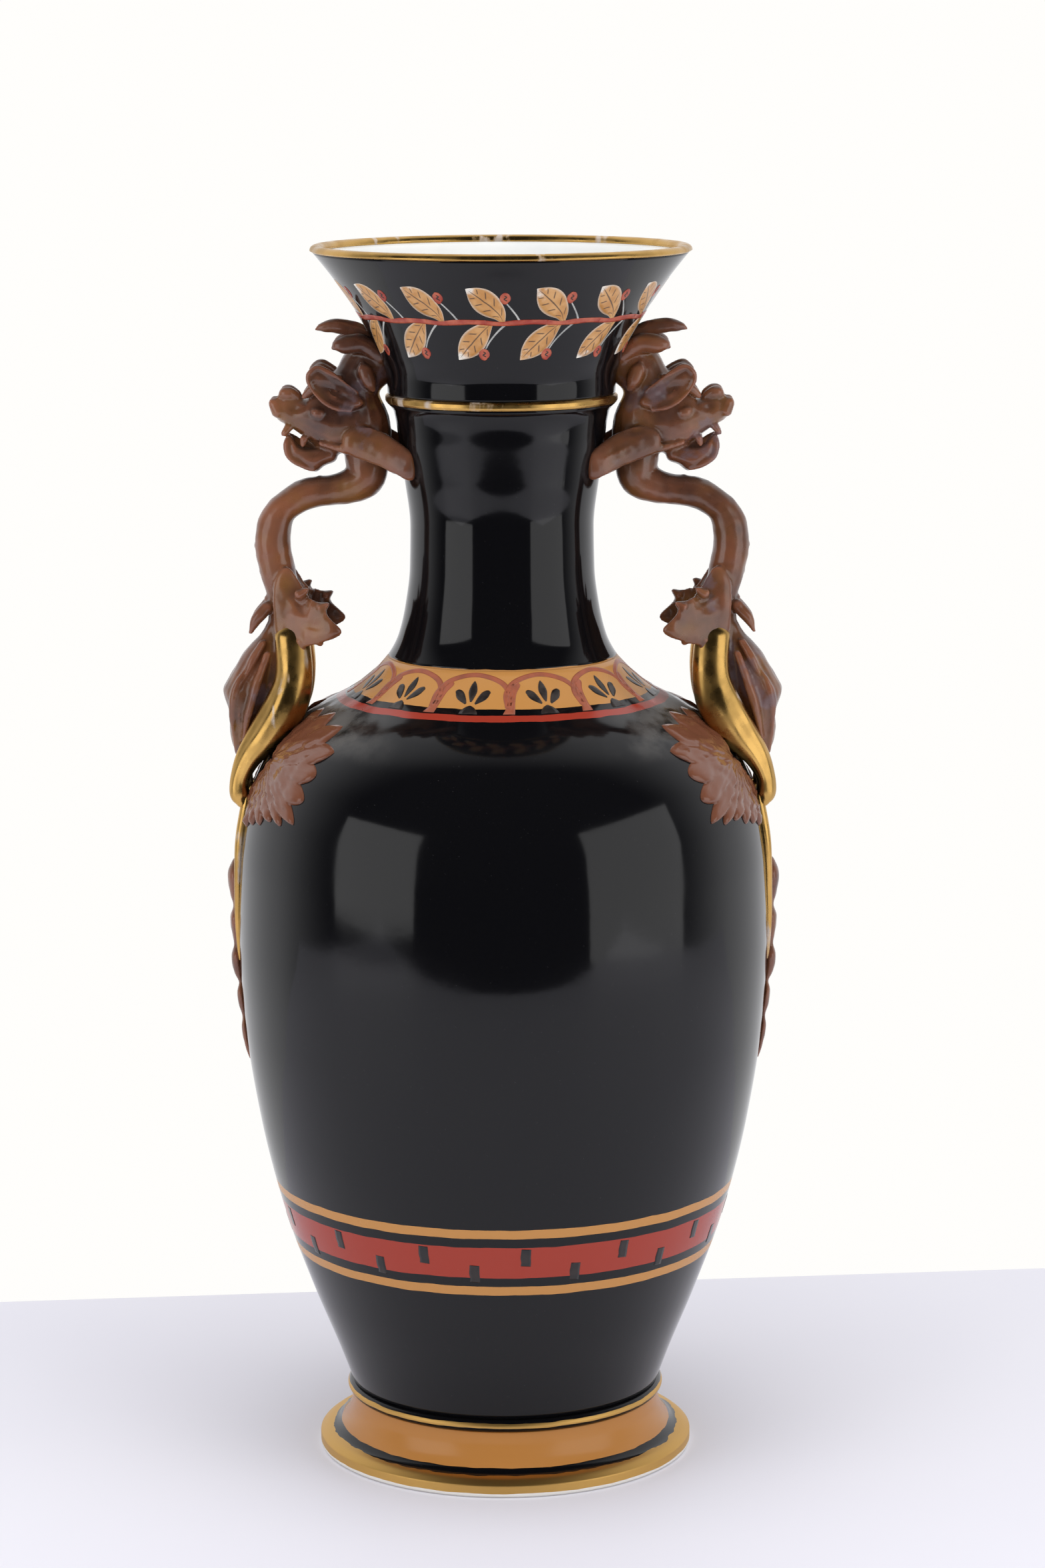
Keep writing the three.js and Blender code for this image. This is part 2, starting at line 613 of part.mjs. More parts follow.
// Husks hung one below the other, each widest near its top
const pendant = (grow) => {
  const husks = [[-42, 18, 5.6, 4.9], [-60, 16, 4.8, 3.8], [-76, 15, 4.2, 3.7], [-91, 14, 3.4, 2.6], [-105, 16, 3, 2.4]];
  const stations = husks.flatMap(([top, length, halfWidth, lift]) => [
    [onBody(top, 0, lift * 0.25), lift * 0.4, halfWidth * 0.45],
    [onBody(top - length * 0.3, 0, lift * 0.4), lift * 0.6, halfWidth],
    [onBody(top - length * 0.7, 0, lift * 0.3), lift * 0.5, halfWidth * 0.7],
  ]);
  return limb([...stations, [onBody(-122, 0, 0.2), 0.7, 0.6]], { sides: 6 }, grow);
};

const finish = (color, roughness, metalness = 0) => new THREE.MeshStandardMaterial({ color, roughness, metalness });
const blackGlaze = finish(0x0d0d10, 0.12);
const ochreEnamel = finish(0xb9783c, 0.35);
const brownEnamel = finish(0x5b3021, 0.32);
const gilding = finish(0xc8963a, 0.3, 1);

const vase = new THREE.Group();

function addPiece(group, name, solid, material) {
  const mesh = new THREE.Mesh(geometryOf(solid), material);
  mesh.name = name;
  group.add(mesh);
}

addPiece(vase, "foot", makeFoot(), ochreEnamel);
addPiece(vase, "foot_bead", makeFootBead(), gilding);
addPiece(vase, "body", makeBody(), blackGlaze);
addPiece(vase, "neck", makeNeck(), blackGlaze);
addPiece(vase, "neck_bead", makeNeckBead(), gilding);
addPiece(vase, "mouth", makeMouth(), blackGlaze);
addPiece(vase, "lip", makeLip(), gilding);

// One mould serves both handles, so the left one is the right one turned half round
function addHandle(name, turn) {
  const handle = new THREE.Group();
  handle.rotation.z = turn;
  vase.add(handle);
  const add = (piece, shape, neighbours, material = brownEnamel) => (
    addPiece(handle, `${name}_${piece}`, seated(shape, neighbours), material)
  );
  add("dragon_head", dragonHead, []);
  add("dragon_neck", dragonNeck, [dragonHead]);
  add("dragon_jaw", dragonJaw, [dragonHead, dragonNeck]);
  add("crest_horn", crestHorn, [dragonHead]);
  add("mask_leaf", maskLeaf, [dragonNeck, leg(-1), leg(1), collarLeaf(-1), collarLeaf(1)]);
  add("pendant", pendant, [band(-1), band(1)]);
  for (const sign of [-1, 1]) {
    const place = (sign < 0) === (turn === 0) ? "front" : "back";
    add(`horn_${place}`, sideHorn(sign), [dragonHead, crestHorn]);
    add(`curl_${place}`, curl(sign), [dragonHead]);
    add(`ear_${place}`, ear(sign), [dragonHead, curl(sign)]);
    add(`cheek_fin_${place}`, cheekFin(sign), [dragonHead, dragonNeck]);
    add(`collar_leaf_${place}`, collarLeaf(sign), [dragonNeck]);
    add(`leg_${place}`, leg(sign), [dragonNeck, collarLeaf(sign)], gilding);
    add(`body_leaf_${place}`, bodyLeaf(sign), [leg(sign), maskLeaf, band(sign)]);
    add(`band_${place}`, band(sign), [leg(sign), maskLeaf], gilding);
  }
}

addHandle("right", 0);
addHandle("left", Math.PI);

export default vase;
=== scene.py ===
"""A black-glazed porcelain vase with enamelled ornament, worn gilding and two brown dragon handles."""

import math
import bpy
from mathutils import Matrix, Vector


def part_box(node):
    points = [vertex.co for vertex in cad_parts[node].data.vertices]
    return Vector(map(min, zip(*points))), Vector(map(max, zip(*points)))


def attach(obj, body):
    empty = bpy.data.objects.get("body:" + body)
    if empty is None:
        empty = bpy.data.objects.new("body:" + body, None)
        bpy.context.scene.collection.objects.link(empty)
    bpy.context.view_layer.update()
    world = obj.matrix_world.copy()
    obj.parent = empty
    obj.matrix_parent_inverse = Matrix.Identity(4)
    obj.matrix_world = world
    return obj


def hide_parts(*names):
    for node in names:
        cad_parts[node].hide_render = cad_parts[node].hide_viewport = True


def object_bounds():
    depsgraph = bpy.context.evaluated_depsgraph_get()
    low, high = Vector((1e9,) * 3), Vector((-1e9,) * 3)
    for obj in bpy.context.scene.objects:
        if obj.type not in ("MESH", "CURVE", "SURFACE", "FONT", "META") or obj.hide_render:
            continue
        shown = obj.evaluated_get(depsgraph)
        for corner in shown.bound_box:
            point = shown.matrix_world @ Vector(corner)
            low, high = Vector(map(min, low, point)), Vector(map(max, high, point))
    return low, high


bl_info = {
    "name": "Dragon-handled vase",
    "version": (1, 0, 0),
    "blender": (4, 5, 0),
    "location": "View3D > Sidebar > Vase",
    "description": "Glazes, paints, gilds and models the finish of a porcelain vase",
    "category": "Object",
}

import bmesh
import bpy
import numpy as np
from bpy.props import FloatProperty, FloatVectorProperty, IntProperty, PointerProperty
from mathutils import Matrix, Vector, noise

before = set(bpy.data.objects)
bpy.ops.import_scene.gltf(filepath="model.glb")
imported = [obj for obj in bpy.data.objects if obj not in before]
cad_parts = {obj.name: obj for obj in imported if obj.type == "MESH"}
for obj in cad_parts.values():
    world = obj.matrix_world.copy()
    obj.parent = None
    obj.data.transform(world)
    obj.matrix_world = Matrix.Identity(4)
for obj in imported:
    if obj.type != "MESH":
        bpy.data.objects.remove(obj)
CAD_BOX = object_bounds()
MM = 0.001
BODY = "root"
WALL = 4 * MM
MOUTH_WALL = 3.5 * MM


# Shapes read from the frame

def outline_of(*nodes):
    """Radius at each height of the outer faces of turned nodes, as two rising arrays in metres."""
    widest = {}
    for name in nodes:
        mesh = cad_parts[name].data
        for face in mesh.polygons:
            if face.normal.xy.dot(face.center.xy.normalized()) < 0.05:
                continue
            for index in face.vertices:
                place = mesh.vertices[index].co
                height = round(place.z, 5)
                widest[height] = max(widest.get(height, 0.0), math.hypot(place.x, place.y))
    heights = np.array(sorted(widest))
    return heights, np.array([widest[height] for height in heights])


def smooth_radius(heights, radii):
    """A smooth outline through those radii that never overshoots between two of them."""
    slopes = np.diff(radii) / np.diff(heights)
    before = np.concatenate([slopes[:1], slopes])
    after = np.concatenate([slopes, slopes[-1:]])
    rising = before * after > 0
    tangents = np.where(rising, 2 * before * after / np.where(rising, before + after, 1), 0)

    def radius(height):
        height = np.clip(height, heights[0], heights[-1])
        low = np.clip(np.searchsorted(heights, height) - 1, 0, len(slopes) - 1)
        span = heights[low + 1] - heights[low]
        t = (height - heights[low]) / span
        leave = t * (1 - t) ** 2 * tangents[low]
        arrive = t * t * (1 - t) * tangents[low + 1]
        return radii[low] + (radii[low + 1] - radii[low]) * t * t * (3 - 2 * t) + span * (leave - arrive)

    return radius


body_radius = smooth_radius(*outline_of("body", "neck"))
mouth_radius = smooth_radius(*outline_of("mouth"))
BODY_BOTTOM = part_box("body")[0].z
MOUTH_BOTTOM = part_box("mouth")[0].z
MOUTH_SEAT = MOUTH_BOTTOM + 11.3 * MM
SHOULDER_SEAT = BODY_BOTTOM + 252.4 * MM


class VaseFinish(bpy.types.PropertyGroup):
    """Sizes and colours of the finish that a user would change."""

    clay_grain: FloatProperty(
        name="Clay grain", description="Voxel size that the modelled handles are fused at",
        default=0.6 * MM, unit="LENGTH")
    enamel_lift: FloatProperty(
        name="Enamel lift", description="Height of a brush stroke above the glaze",
        default=0.1 * MM, unit="LENGTH")
    upper_leaves: IntProperty(name="Upper leaves", description="Laurel leaves above the stem", default=15)
    lower_leaves: IntProperty(name="Lower leaves", description="Laurel leaves below the stem", default=13)
    palmettes: IntProperty(name="Palmettes", description="Palmettes round the shoulder", default=12)
    key_bars: IntProperty(name="Key bars", description="Pairs of bars in the key pattern", default=14)
    black: FloatVectorProperty(
        name="Black glaze", description="Colour of the black glaze", subtype="COLOR",
        default=(0.0035, 0.0035, 0.0042))
    ochre: FloatVectorProperty(
        name="Ochre enamel", description="Colour of the painted bands and leaves", subtype="COLOR",
        default=(0.5, 0.235, 0.065))
    red: FloatVectorProperty(
        name="Iron red", description="Colour of the stem, berries and key band", subtype="COLOR",
        default=(0.33, 0.037, 0.02))
    gold: FloatVectorProperty(
        name="Gilding", description="Colour of the gilding", subtype="COLOR",
        default=(0.66, 0.4, 0.12))
    brown: FloatVectorProperty(
        name="Brown enamel", description="Colour of the dragons on their high places", subtype="COLOR",
        default=(0.215, 0.075, 0.031))


# Node helpers

def new_material(name):
    material = bpy.data.materials.new(name)
    material.use_nodes = True
    tree = material.node_tree
    return material, tree, tree.nodes["Principled BSDF"]


def node(tree, kind, inputs=None, **settings):
    made = tree.nodes.new(kind)
    for key, value in settings.items():
        setattr(made, key, value)
    for key, value in (inputs or {}).items():
        if isinstance(value, bpy.types.NodeSocket):
            tree.links.new(value, made.inputs[key])
        else:
            made.inputs[key].default_value = value
    return made


def maths(tree, operation, first, second=0.0, clamp=False):
    made = node(tree, "ShaderNodeMath", {0: first, 1: second}, operation=operation, use_clamp=clamp)
    return made.outputs[0]


def blend(tree, share, low, high):
    made = node(tree, "ShaderNodeMix", data_type="RGBA")
    for socket, value in ((made.inputs["Factor"], share), (made.inputs[6], low), (made.inputs[7], high)):
        if isinstance(value, bpy.types.NodeSocket):
            tree.links.new(value, socket)
        elif isinstance(value, float):
            socket.default_value = value
        else:
            socket.default_value = (*value[:3], 1.0)
    return made.outputs[2]


def ranged(tree, value, low, high, to_low=0.0, to_high=1.0):
    return node(tree, "ShaderNodeMapRange", {
        "Value": value, "From Min": low, "From Max": high, "To Min": to_low, "To Max": to_high,
    }, interpolation_type="SMOOTHSTEP").outputs[0]


def speckle(tree, scale, detail=4.0, vector=None):
    coords = vector or node(tree, "ShaderNodeTexCoord").outputs["Object"]
    made = node(tree, "ShaderNodeTexNoise", {"Vector": coords, "Scale": scale, "Detail": detail})
    return made.outputs["Fac"]


def bump(tree, shader, height, strength, distance):
    made = node(tree, "ShaderNodeBump", {"Height": height, "Strength": strength, "Distance": distance})
    tree.links.new(made.outputs[0], shader.inputs["Normal"])


# Materials

def glaze_material(name, zones):
    """Glossy glaze whose painted zones are (height in mm up to which, colour, share of metal)."""
    material, tree, shader = new_material(name)
    coords = node(tree, "ShaderNodeTexCoord").outputs["Object"]
    place = node(tree, "ShaderNodeSeparateXYZ", {0: coords})
    wobble = maths(tree, "MULTIPLY", maths(tree, "SUBTRACT", speckle(tree, 90.0, 2.0), 0.5), 0.9 * MM)
    height = maths(tree, "ADD", place.outputs["Z"], wobble)
    top = CAD_BOX[1][2]
    ramp = node(tree, "ShaderNodeValToRGB", {"Fac": maths(tree, "DIVIDE", height, top)})
    ramp.color_ramp.interpolation = "CONSTANT"
    stops = ramp.color_ramp.elements
    start = 0.0
    for index, (until, colour, metal) in enumerate(zones):
        stop = stops[0] if index == 0 else stops.new(start)
        stop.position = start
        stop.color = (*colour[:3], metal)
        start = until * MM / top
    stops.remove(stops[-1])
    colour = ramp.outputs["Color"]
    metal = ramp.outputs["Alpha"]
    dust = ranged(tree, speckle(tree, 1400.0, 2.0), 0.72, 0.8)
    cloud = ranged(tree, speckle(tree, 22.0, 6.0), 0.42, 0.75)
    aside = ranged(tree, maths(tree, "ABSOLUTE", place.outputs["X"]), 0.036, 0.066)
    shoulder = maths(tree, "MULTIPLY", ranged(tree, place.outputs["Z"], 0.287, 0.298),
                     ranged(tree, place.outputs["Z"], 0.335, 0.318))
    patches = ranged(tree, speckle(tree, 60.0, 8.0), 0.36, 0.6)
    worn = maths(tree, "MULTIPLY", maths(tree, "MULTIPLY", aside, shoulder), patches)
    soiled = blend(tree, maths(tree, "MULTIPLY", worn, 0.55), colour, (0.2, 0.19, 0.175))
    faint = maths(tree, "MULTIPLY", dust, 0.05)
    tree.links.new(blend(tree, faint, soiled, (0.5, 0.5, 0.5)), shader.inputs["Base Color"])
    tree.links.new(metal, shader.inputs["Metallic"])
    rough = maths(tree, "ADD", maths(tree, "MULTIPLY", cloud, 0.05), 0.07)
    painted = maths(tree, "MULTIPLY", node(tree, "ShaderNodeRGBToBW", {0: colour}).outputs[0], 0.6)
    rough = maths(tree, "ADD", maths(tree, "ADD", rough, painted), maths(tree, "MULTIPLY", worn, 0.4))
    rough = maths(tree, "ADD", rough, maths(tree, "MULTIPLY", metal, 0.12))
    tree.links.new(rough, shader.inputs["Roughness"])
    shader.inputs["IOR"].default_value = 1.38
    bump(tree, shader, speckle(tree, 55.0, 3.0), 0.12, 0.25 * MM)
    return material


def inside_material():
    material, tree, shader = new_material("white_inner_glaze")
    tone = ranged(tree, speckle(tree, 30.0, 5.0), 0.4, 0.7)
    tree.links.new(blend(tree, tone, (0.8, 0.8, 0.77), (0.72, 0.73, 0.71)), shader.inputs["Base Color"])
    shader.inputs["Roughness"].default_value = 0.16
    bump(tree, shader, speckle(tree, 60.0, 3.0), 0.1, 0.2 * MM)
    return material


def clay_material():
    material, tree, shader = new_material("bare_porcelain")
    tone = ranged(tree, speckle(tree, 400.0, 5.0), 0.35, 0.7)
    tree.links.new(blend(tree, tone, (0.7, 0.67, 0.6), (0.6, 0.56, 0.5)), shader.inputs["Base Color"])
    shader.inputs["Roughness"].default_value = 0.7
    bump(tree, shader, speckle(tree, 900.0, 4.0), 0.3, 0.1 * MM)
    return material


def gold_material(finish):
    """Burnished gilding, rubbed through to the white glaze in streaks."""
    material, tree, shader = new_material("worn_gilding")
    coords = node(tree, "ShaderNodeTexCoord").outputs["Object"]
    stretched = node(tree, "ShaderNodeMapping", {"Vector": coords, "Scale": (1.0, 1.0, 0.28)}).outputs[0]
    rubbed = ranged(tree, speckle(tree, 95.0, 9.0, stretched), 0.6, 0.67)
    tone = ranged(tree, speckle(tree, 45.0, 5.0), 0.35, 0.7)
    gold = blend(tree, tone, tuple(finish.gold), tuple(0.72 * part for part in finish.gold))
    tree.links.new(blend(tree, maths(tree, "MULTIPLY", rubbed, 0.75), gold, (0.55, 0.5, 0.47)),
                   shader.inputs["Base Color"])
    metal = maths(tree, "SUBTRACT", 1.0, maths(tree, "MULTIPLY", rubbed, 0.8))
    tree.links.new(metal, shader.inputs["Metallic"])
    tree.links.new(ranged(tree, speckle(tree, 160.0, 6.0), 0.3, 0.75, 0.2, 0.42), shader.inputs["Roughness"])
    bump(tree, shader, speckle(tree, 260.0, 7.0), 0.22, 0.2 * MM)
    return material


def brown_material(finish):
    """Satin brown enamel with painted light: a lighter, redder painted highlight on edges that leaves the
    hollows darker, painted shade on top, a golden tint at random places that paints glints, and purple-grey
    smudges.
    """
    material, tree, shader = new_material("brown_enamel")
    pointed = node(tree, "ShaderNodeNewGeometry").outputs["Pointiness"]
    # painted highlight: convex edges get a lighter, redder brown, so the hollows stay darker
    edge = ranged(tree, pointed, 0.49, 0.56)
    coords = node(tree, "ShaderNodeTexCoord").outputs["Object"]
    facing = node(tree, "ShaderNodeSeparateXYZ", {0: node(tree, "ShaderNodeNewGeometry").outputs["Normal"]})
    # painted shade: faces that look upward are darkened towards a near-black brown
    top_shade_mask = ranged(tree, facing.outputs["Z"], 0.35, 1.0)
    cloud = ranged(tree, speckle(tree, 70.0, 5.0), 0.35, 0.68)
    high = tuple(finish.brown)
    deep = (0.052, 0.018, 0.009)
    # painted glints: a golden tint laid over the brown at random places
    painted_glint_tint = (0.21, 0.09, 0.022)
    base = blend(tree, cloud, high, painted_glint_tint)
    tone = blend(tree, ranged(tree, speckle(tree, 38.0, 3.0), 0.3, 0.72), deep, base)
    painted_edge_highlight = blend(tree, maths(tree, "MULTIPLY", edge, 0.75), tone, (0.27, 0.095, 0.048))
    painted_top_shade = blend(tree, maths(tree, "MULTIPLY", top_shade_mask, 0.72), painted_edge_highlight, (0.045, 0.03, 0.024))
    smudge = ranged(tree, speckle(tree, 48.0, 6.0, node(tree, "ShaderNodeMapping", {
        "Vector": coords, "Location": (0.3, 0.1, 0.7)}).outputs[0]), 0.6, 0.66)
    tree.links.new(blend(tree, maths(tree, "MULTIPLY", smudge, 0.55), painted_top_shade, (0.14, 0.1, 0.115)),
                   shader.inputs["Base Color"])
    tree.links.new(ranged(tree, speckle(tree, 120.0, 4.0), 0.3, 0.7, 0.22, 0.35), shader.inputs["Roughness"])
    shader.inputs["Coat Weight"].default_value = 0.4
    shader.inputs["Coat Roughness"].default_value = 0.2
    bump(tree, shader, speckle(tree, 420.0, 6.0), 0.12, 0.15 * MM)
    return material


def leaf_material(finish):
    """Ochre leaf with a white tip, a brown midrib and short side strokes, laid out along the leaf."""
    material, tree, shader = new_material("leaf_enamel")
    stroke = node(tree, "ShaderNodeAttribute", attribute_name="stroke").outputs["Vector"]
    place = node(tree, "ShaderNodeSeparateXYZ", {0: stroke})
    along, across = place.outputs["X"], place.outputs["Y"]
    grain = maths(tree, "SUBTRACT", speckle(tree, 260.0, 4.0), 0.5)
    tip = ranged(tree, maths(tree, "ADD", along, maths(tree, "MULTIPLY", grain, 0.9)), 0.66, 0.98)
    tone = ranged(tree, speckle(tree, 180.0, 5.0), 0.35, 0.7)
    ochre = blend(tree, tone, tuple(finish.ochre), (0.62, 0.34, 0.13))
    rim = ranged(tree, maths(tree, "ABSOLUTE", across), 0.78, 1.0)
    paler = maths(tree, "MAXIMUM", tip, maths(tree, "MULTIPLY", rim, 0.55))
    pale = blend(tree, paler, ochre, (0.8, 0.76, 0.68))
    swayed = maths(tree, "ADD", across, maths(tree, "MULTIPLY", grain, 0.1))
    midrib = ranged(tree, maths(tree, "ABSOLUTE", swayed), 0.075, 0.03)
    ribbed = maths(tree, "MULTIPLY", midrib, ranged(tree, along, 0.9, 0.8))
    lean = maths(tree, "SUBTRACT", along, maths(tree, "MULTIPLY", maths(tree, "ABSOLUTE", across), 0.16))
    row = maths(tree, "FRACT", maths(tree, "MULTIPLY", lean, 6.0))
    vein = ranged(tree, maths(tree, "ABSOLUTE", maths(tree, "SUBTRACT", row, 0.5)), 0.1, 0.05)
    reach = maths(tree, "MULTIPLY", ranged(tree, maths(tree, "ABSOLUTE", across), 0.2, 0.3),
                  ranged(tree, maths(tree, "ABSOLUTE", across), 0.8, 0.62))
    veined = maths(tree, "MULTIPLY", maths(tree, "MULTIPLY", vein, reach), ranged(tree, along, 0.88, 0.7))
    lines = maths(tree, "MAXIMUM", ribbed, veined, clamp=True)
    tree.links.new(blend(tree, maths(tree, "MULTIPLY", lines, 0.85), pale, (0.055, 0.03, 0.02)),
                   shader.inputs["Base Color"])
    shader.inputs["Roughness"].default_value = 0.3
    bump(tree, shader, speckle(tree, 700.0, 4.0), 0.2, 0.06 * MM)
    return material


def stroke_material(name, colour, shade, roughness=0.3):
    """Brushed enamel that lies thinner in places."""
    material, tree, shader = new_material(name)
    tone = ranged(tree, speckle(tree, 220.0, 6.0), 0.35, 0.72)
    tree.links.new(blend(tree, tone, colour, shade), shader.inputs["Base Color"])
    shader.inputs["Roughness"].default_value = roughness
    bump(tree, shader, speckle(tree, 650.0, 4.0), 0.25, 0.06 * MM)
    return material


# Mesh helpers

def mesh_object(name, verts, faces, materials, face_material=None, smooth=True):
    mesh = bpy.data.meshes.new(name)
    mesh.from_pydata([tuple(map(float, vert)) for vert in verts], [], faces)
    for material in materials:
        mesh.materials.append(material)
    if face_material is not None:
        mesh.polygons.foreach_set("material_index", face_material)
    mesh.polygons.foreach_set("use_smooth", [smooth] * len(mesh.polygons))
    mesh.update()
    made = bpy.data.objects.new(name, mesh)
    bpy.context.scene.collection.objects.link(made)
    return made


def settle(piece, slot, *nodes):
    """Puts a finished piece on the vase and hides the nodes that it stands for; the record's slot is not
    used.
    """
    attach(piece, BODY)
    if nodes:
        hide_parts(*nodes)
    return piece


def finished(piece):
    """The piece with its modifiers worked into its mesh."""
    depsgraph = bpy.context.evaluated_depsgraph_get()
    mesh = bpy.data.meshes.new_from_object(piece.evaluated_get(depsgraph), depsgraph=depsgraph)
    piece.modifiers.clear()
    piece.data = mesh
    return piece


def face_outwards(mesh):
    shell = bmesh.new()
    shell.from_mesh(mesh)
    bmesh.ops.remove_doubles(shell, verts=shell.verts, dist=1e-7)
    bmesh.ops.recalc_face_normals(shell, faces=shell.faces)
    shell.to_mesh(mesh)
    shell.free()


def turned(name, profile, materials, inner_from=None, sides=256):
    """A surface turned about Z from a closed profile; faces from row inner_from on take material 1."""
    profile = np.array(profile)
    angles = np.linspace(0, 2 * math.pi, sides, endpoint=False)
    on_axis = profile[:, 0] < 1e-6
    rings, verts = [], []
    for (radius, height), axis in zip(profile, on_axis):
        if axis:
            rings.append([len(verts)] * sides)
            verts.append((0, 0, height))
        else:
            rings.append(list(range(len(verts), len(verts) + sides)))
            verts.extend((radius * math.cos(a), radius * math.sin(a), height) for a in angles)
    faces, slots = [], []
    open_ends = on_axis[0] and on_axis[-1]
    for row in range(len(rings) - 1 if open_ends else len(rings)):
        low, high = rings[row], rings[(row + 1) % len(rings)]
        for side in range(sides):
            beside = (side + 1) % sides
            corners = [low[side], low[beside], high[beside], high[side]]
            corners = list(dict.fromkeys(corners))
            if len(corners) > 2:
                faces.append(corners)
                slots.append(0 if inner_from is None or row < inner_from else 1)
    made = mesh_object(name, verts, faces, materials, slots)
    face_outwards(made.data)
    return made


def catmull(points, per):
    """Points on a smooth line through the given rows, per steps between two rows."""
    rows = np.array(points, float)
    rows = np.vstack([2 * rows[0] - rows[1], rows, 2 * rows[-1] - rows[-2]])
    made = []
    for index in range(1, len(rows) - 2):
        before, here, after, beyond = rows[index - 1:index + 3]
        for t in np.arange(per) / per:
            made.append(0.5 * (2 * here + (after - before) * t
                               + (2 * before - 5 * here + 4 * after - beyond) * t ** 2
                               + (3 * here - before - 3 * after + beyond) * t ** 3))
    made.append(rows[-2])
    return np.array(made)


def rounded_loop(points, per):
    """The same round a closed outline."""
    rows = np.array(points, float)
    looped = catmull(np.vstack([rows[-1:], rows, rows[:2]]), per)
    return looped[per:-per - 1]


def tube_faces(rings, sides):
    """Faces between rings of points that follow each other, with both ends closed."""
    faces = []
    for low in range(0, (rings - 1) * sides, sides):
        for side in range(sides):
            beside = (side + 1) % sides
            faces.append((low + side, low + beside, low + sides + beside, low + sides + side))
    faces.append(tuple(range(sides))[::-1])
    faces.append(tuple(range((rings - 1) * sides, rings * sides)))
    return faces


def limb(stations, sides=20, per=7, ridges=None):
    """A limb of oval section through rows of out, up, side, half thickness and half width."""
    rows = catmull([[*row, row[3]] if len(row) == 4 else row for row in stations], per)
    centres = rows[:, [0, 2, 1]]
    tangents = np.gradient(centres, axis=0)
    tangents /= np.linalg.norm(tangents, axis=1)[:, None]
    lifts = np.cross(np.array([[0.0, 1.0, 0.0]]), tangents)
    lifts /= np.linalg.norm(lifts, axis=1)[:, None]
    across = np.cross(tangents, lifts)
    thick, wide = np.maximum(rows[:, 3], 0.15), np.maximum(rows[:, 4], 0.15)
    ring_centres, sizes = [], []
    for reach, share in ((-0.8, 0.35), (-0.45, 0.75)):
        ring_centres.append((0, reach))
        sizes.append(share)
    ring_centres += [(index, 0.0) for index in range(len(rows))]
    sizes += [1.0] * len(rows)
    for reach, share in ((0.45, 0.75), (0.8, 0.35)):
        ring_centres.append((len(rows) - 1, reach))
        sizes.append(share)
    angles = 2 * math.pi * np.arange(sides) / sides
    verts = []
    for (index, reach), share in zip(ring_centres, sizes):
        centre = centres[index] + tangents[index] * reach * min(thick[index], wide[index])
        bulge = 1 + (ridges(index / len(rows), angles) if ridges else 0 * angles)
        verts.extend(centre + share * (np.outer(np.cos(angles) * bulge, lifts[index]) * thick[index]
                                       + np.outer(np.sin(angles) * bulge, across[index]) * wide[index]))
    return np.array(verts), tube_faces(len(ring_centres), sides)


def modelled(outline, core, per=4, layers=9):
    """A form that swells from its outline to a core line of out, up, side and half thickness."""
    rim = rounded_loop(outline, per)
    line = catmull(core, 6)
    starts, ends = line[:-1], line[1:]
    span = ends[:, :2] - starts[:, :2]
    feet = []
    for point in rim:
        share = np.clip(((point - starts[:, :2]) * span).sum(1) / (span ** 2).sum(1), 0, 1)
        nearest = starts + (ends - starts) * share[:, None]
        feet.append(nearest[np.argmin(np.linalg.norm(nearest[:, :2] - point, axis=1))])
    feet = np.array(feet)
    verts = []
    for angle in np.radians(np.linspace(-82, 82, layers)):
        flat = feet[:, :2] + (rim - feet[:, :2]) * math.cos(angle)
        side = feet[:, 2] + feet[:, 3] * math.sin(angle)
        verts.extend(np.column_stack([flat[:, 0], side, flat[:, 1]]))
    return np.array(verts), tube_faces(layers, len(rim))


def joined(parts):
    """One list of points and faces from several, in millimetres."""
    verts, faces, count = [], [], 0
    for part_verts, part_faces in parts:
        verts.append(part_verts)
        faces.extend(tuple(count + index for index in face) for face in part_faces)
        count += len(part_verts)
    return np.vstack(verts), faces


def mirrored(rows, sign):
    """Rows with their sideways value turned to one side of the handle."""
    return [[*row[:2], sign * row[2], *row[3:]] for row in rows]


def moved(rows, seat):
    """Rows of out and up, counted from a seat, as rows counted from the vase's axis and foot."""
    return [[row[0] + seat[0], row[1] + seat[1], *row[2:]] for row in rows]


MOUTH = (float(mouth_radius(MOUTH_SEAT)) / MM, MOUTH_SEAT / MM)
SHOULDER = (float(body_radius(SHOULDER_SEAT)) / MM, SHOULDER_SEAT / MM)

# The dragon, in millimetres outwards and upwards from the two seats, then sideways and half thickness
NECK_TOP = [[6.7, -33, 0, 8.6], [6.9, -43.4, 0, 8], [13.1, -47.5, 0, 6.9], [20, -49, 0, 6],
            [29.1, -50.2, 0, 6.1], [35.4, -53.4, 0, 5.9]]
NECK_FOOT = [[-6.6, 95.5, 0, 6.4], [-4, 86, 0, 7], [-5.6, 74, 0, 7], [-7.6, 66, 0, 6.6], [-7.9, 56, 0, 6],
             [-6.6, 42, 0, 6.5], [-3.6, 28, 0, 7.5], [0, 8, 0, 8]]
HEAD = [[42.8, -16.6], [38.4, -10.6], [29.6, -12.3], [26, -7], [19.1, -2.7], [15.2, 3.5], [8.7, 10], [1, 12],
        [-4, 4], [-3, -6], [1.3, -11.5], [-2.4, -20], [-3, -30], [-1, -38], [13.3, -34.5], [20.3, -35.8],
        [25.9, -32], [29, -29.5], [36, -24.6], [40.9, -21.4]]
HEAD_CORE = [[2, 4, 0, 8], [9, -6, 0, 9], [13, -20, 0, 11.5], [24, -20, 0, 10.5], [37, -17, 0, 7.5]]
JAW = [[36.3, -27], [36.8, -31.5], [35.8, -36.3], [31.5, -39.5], [26.6, -41.9], [23, -39.5], [18, -37],
       [19, -31], [27.5, -31.8], [32.5, -31]]
JAW_CORE = [[21, -35, 0, 6], [28, -36, 0, 6.5], [34, -33.5, 0, 5.5]]
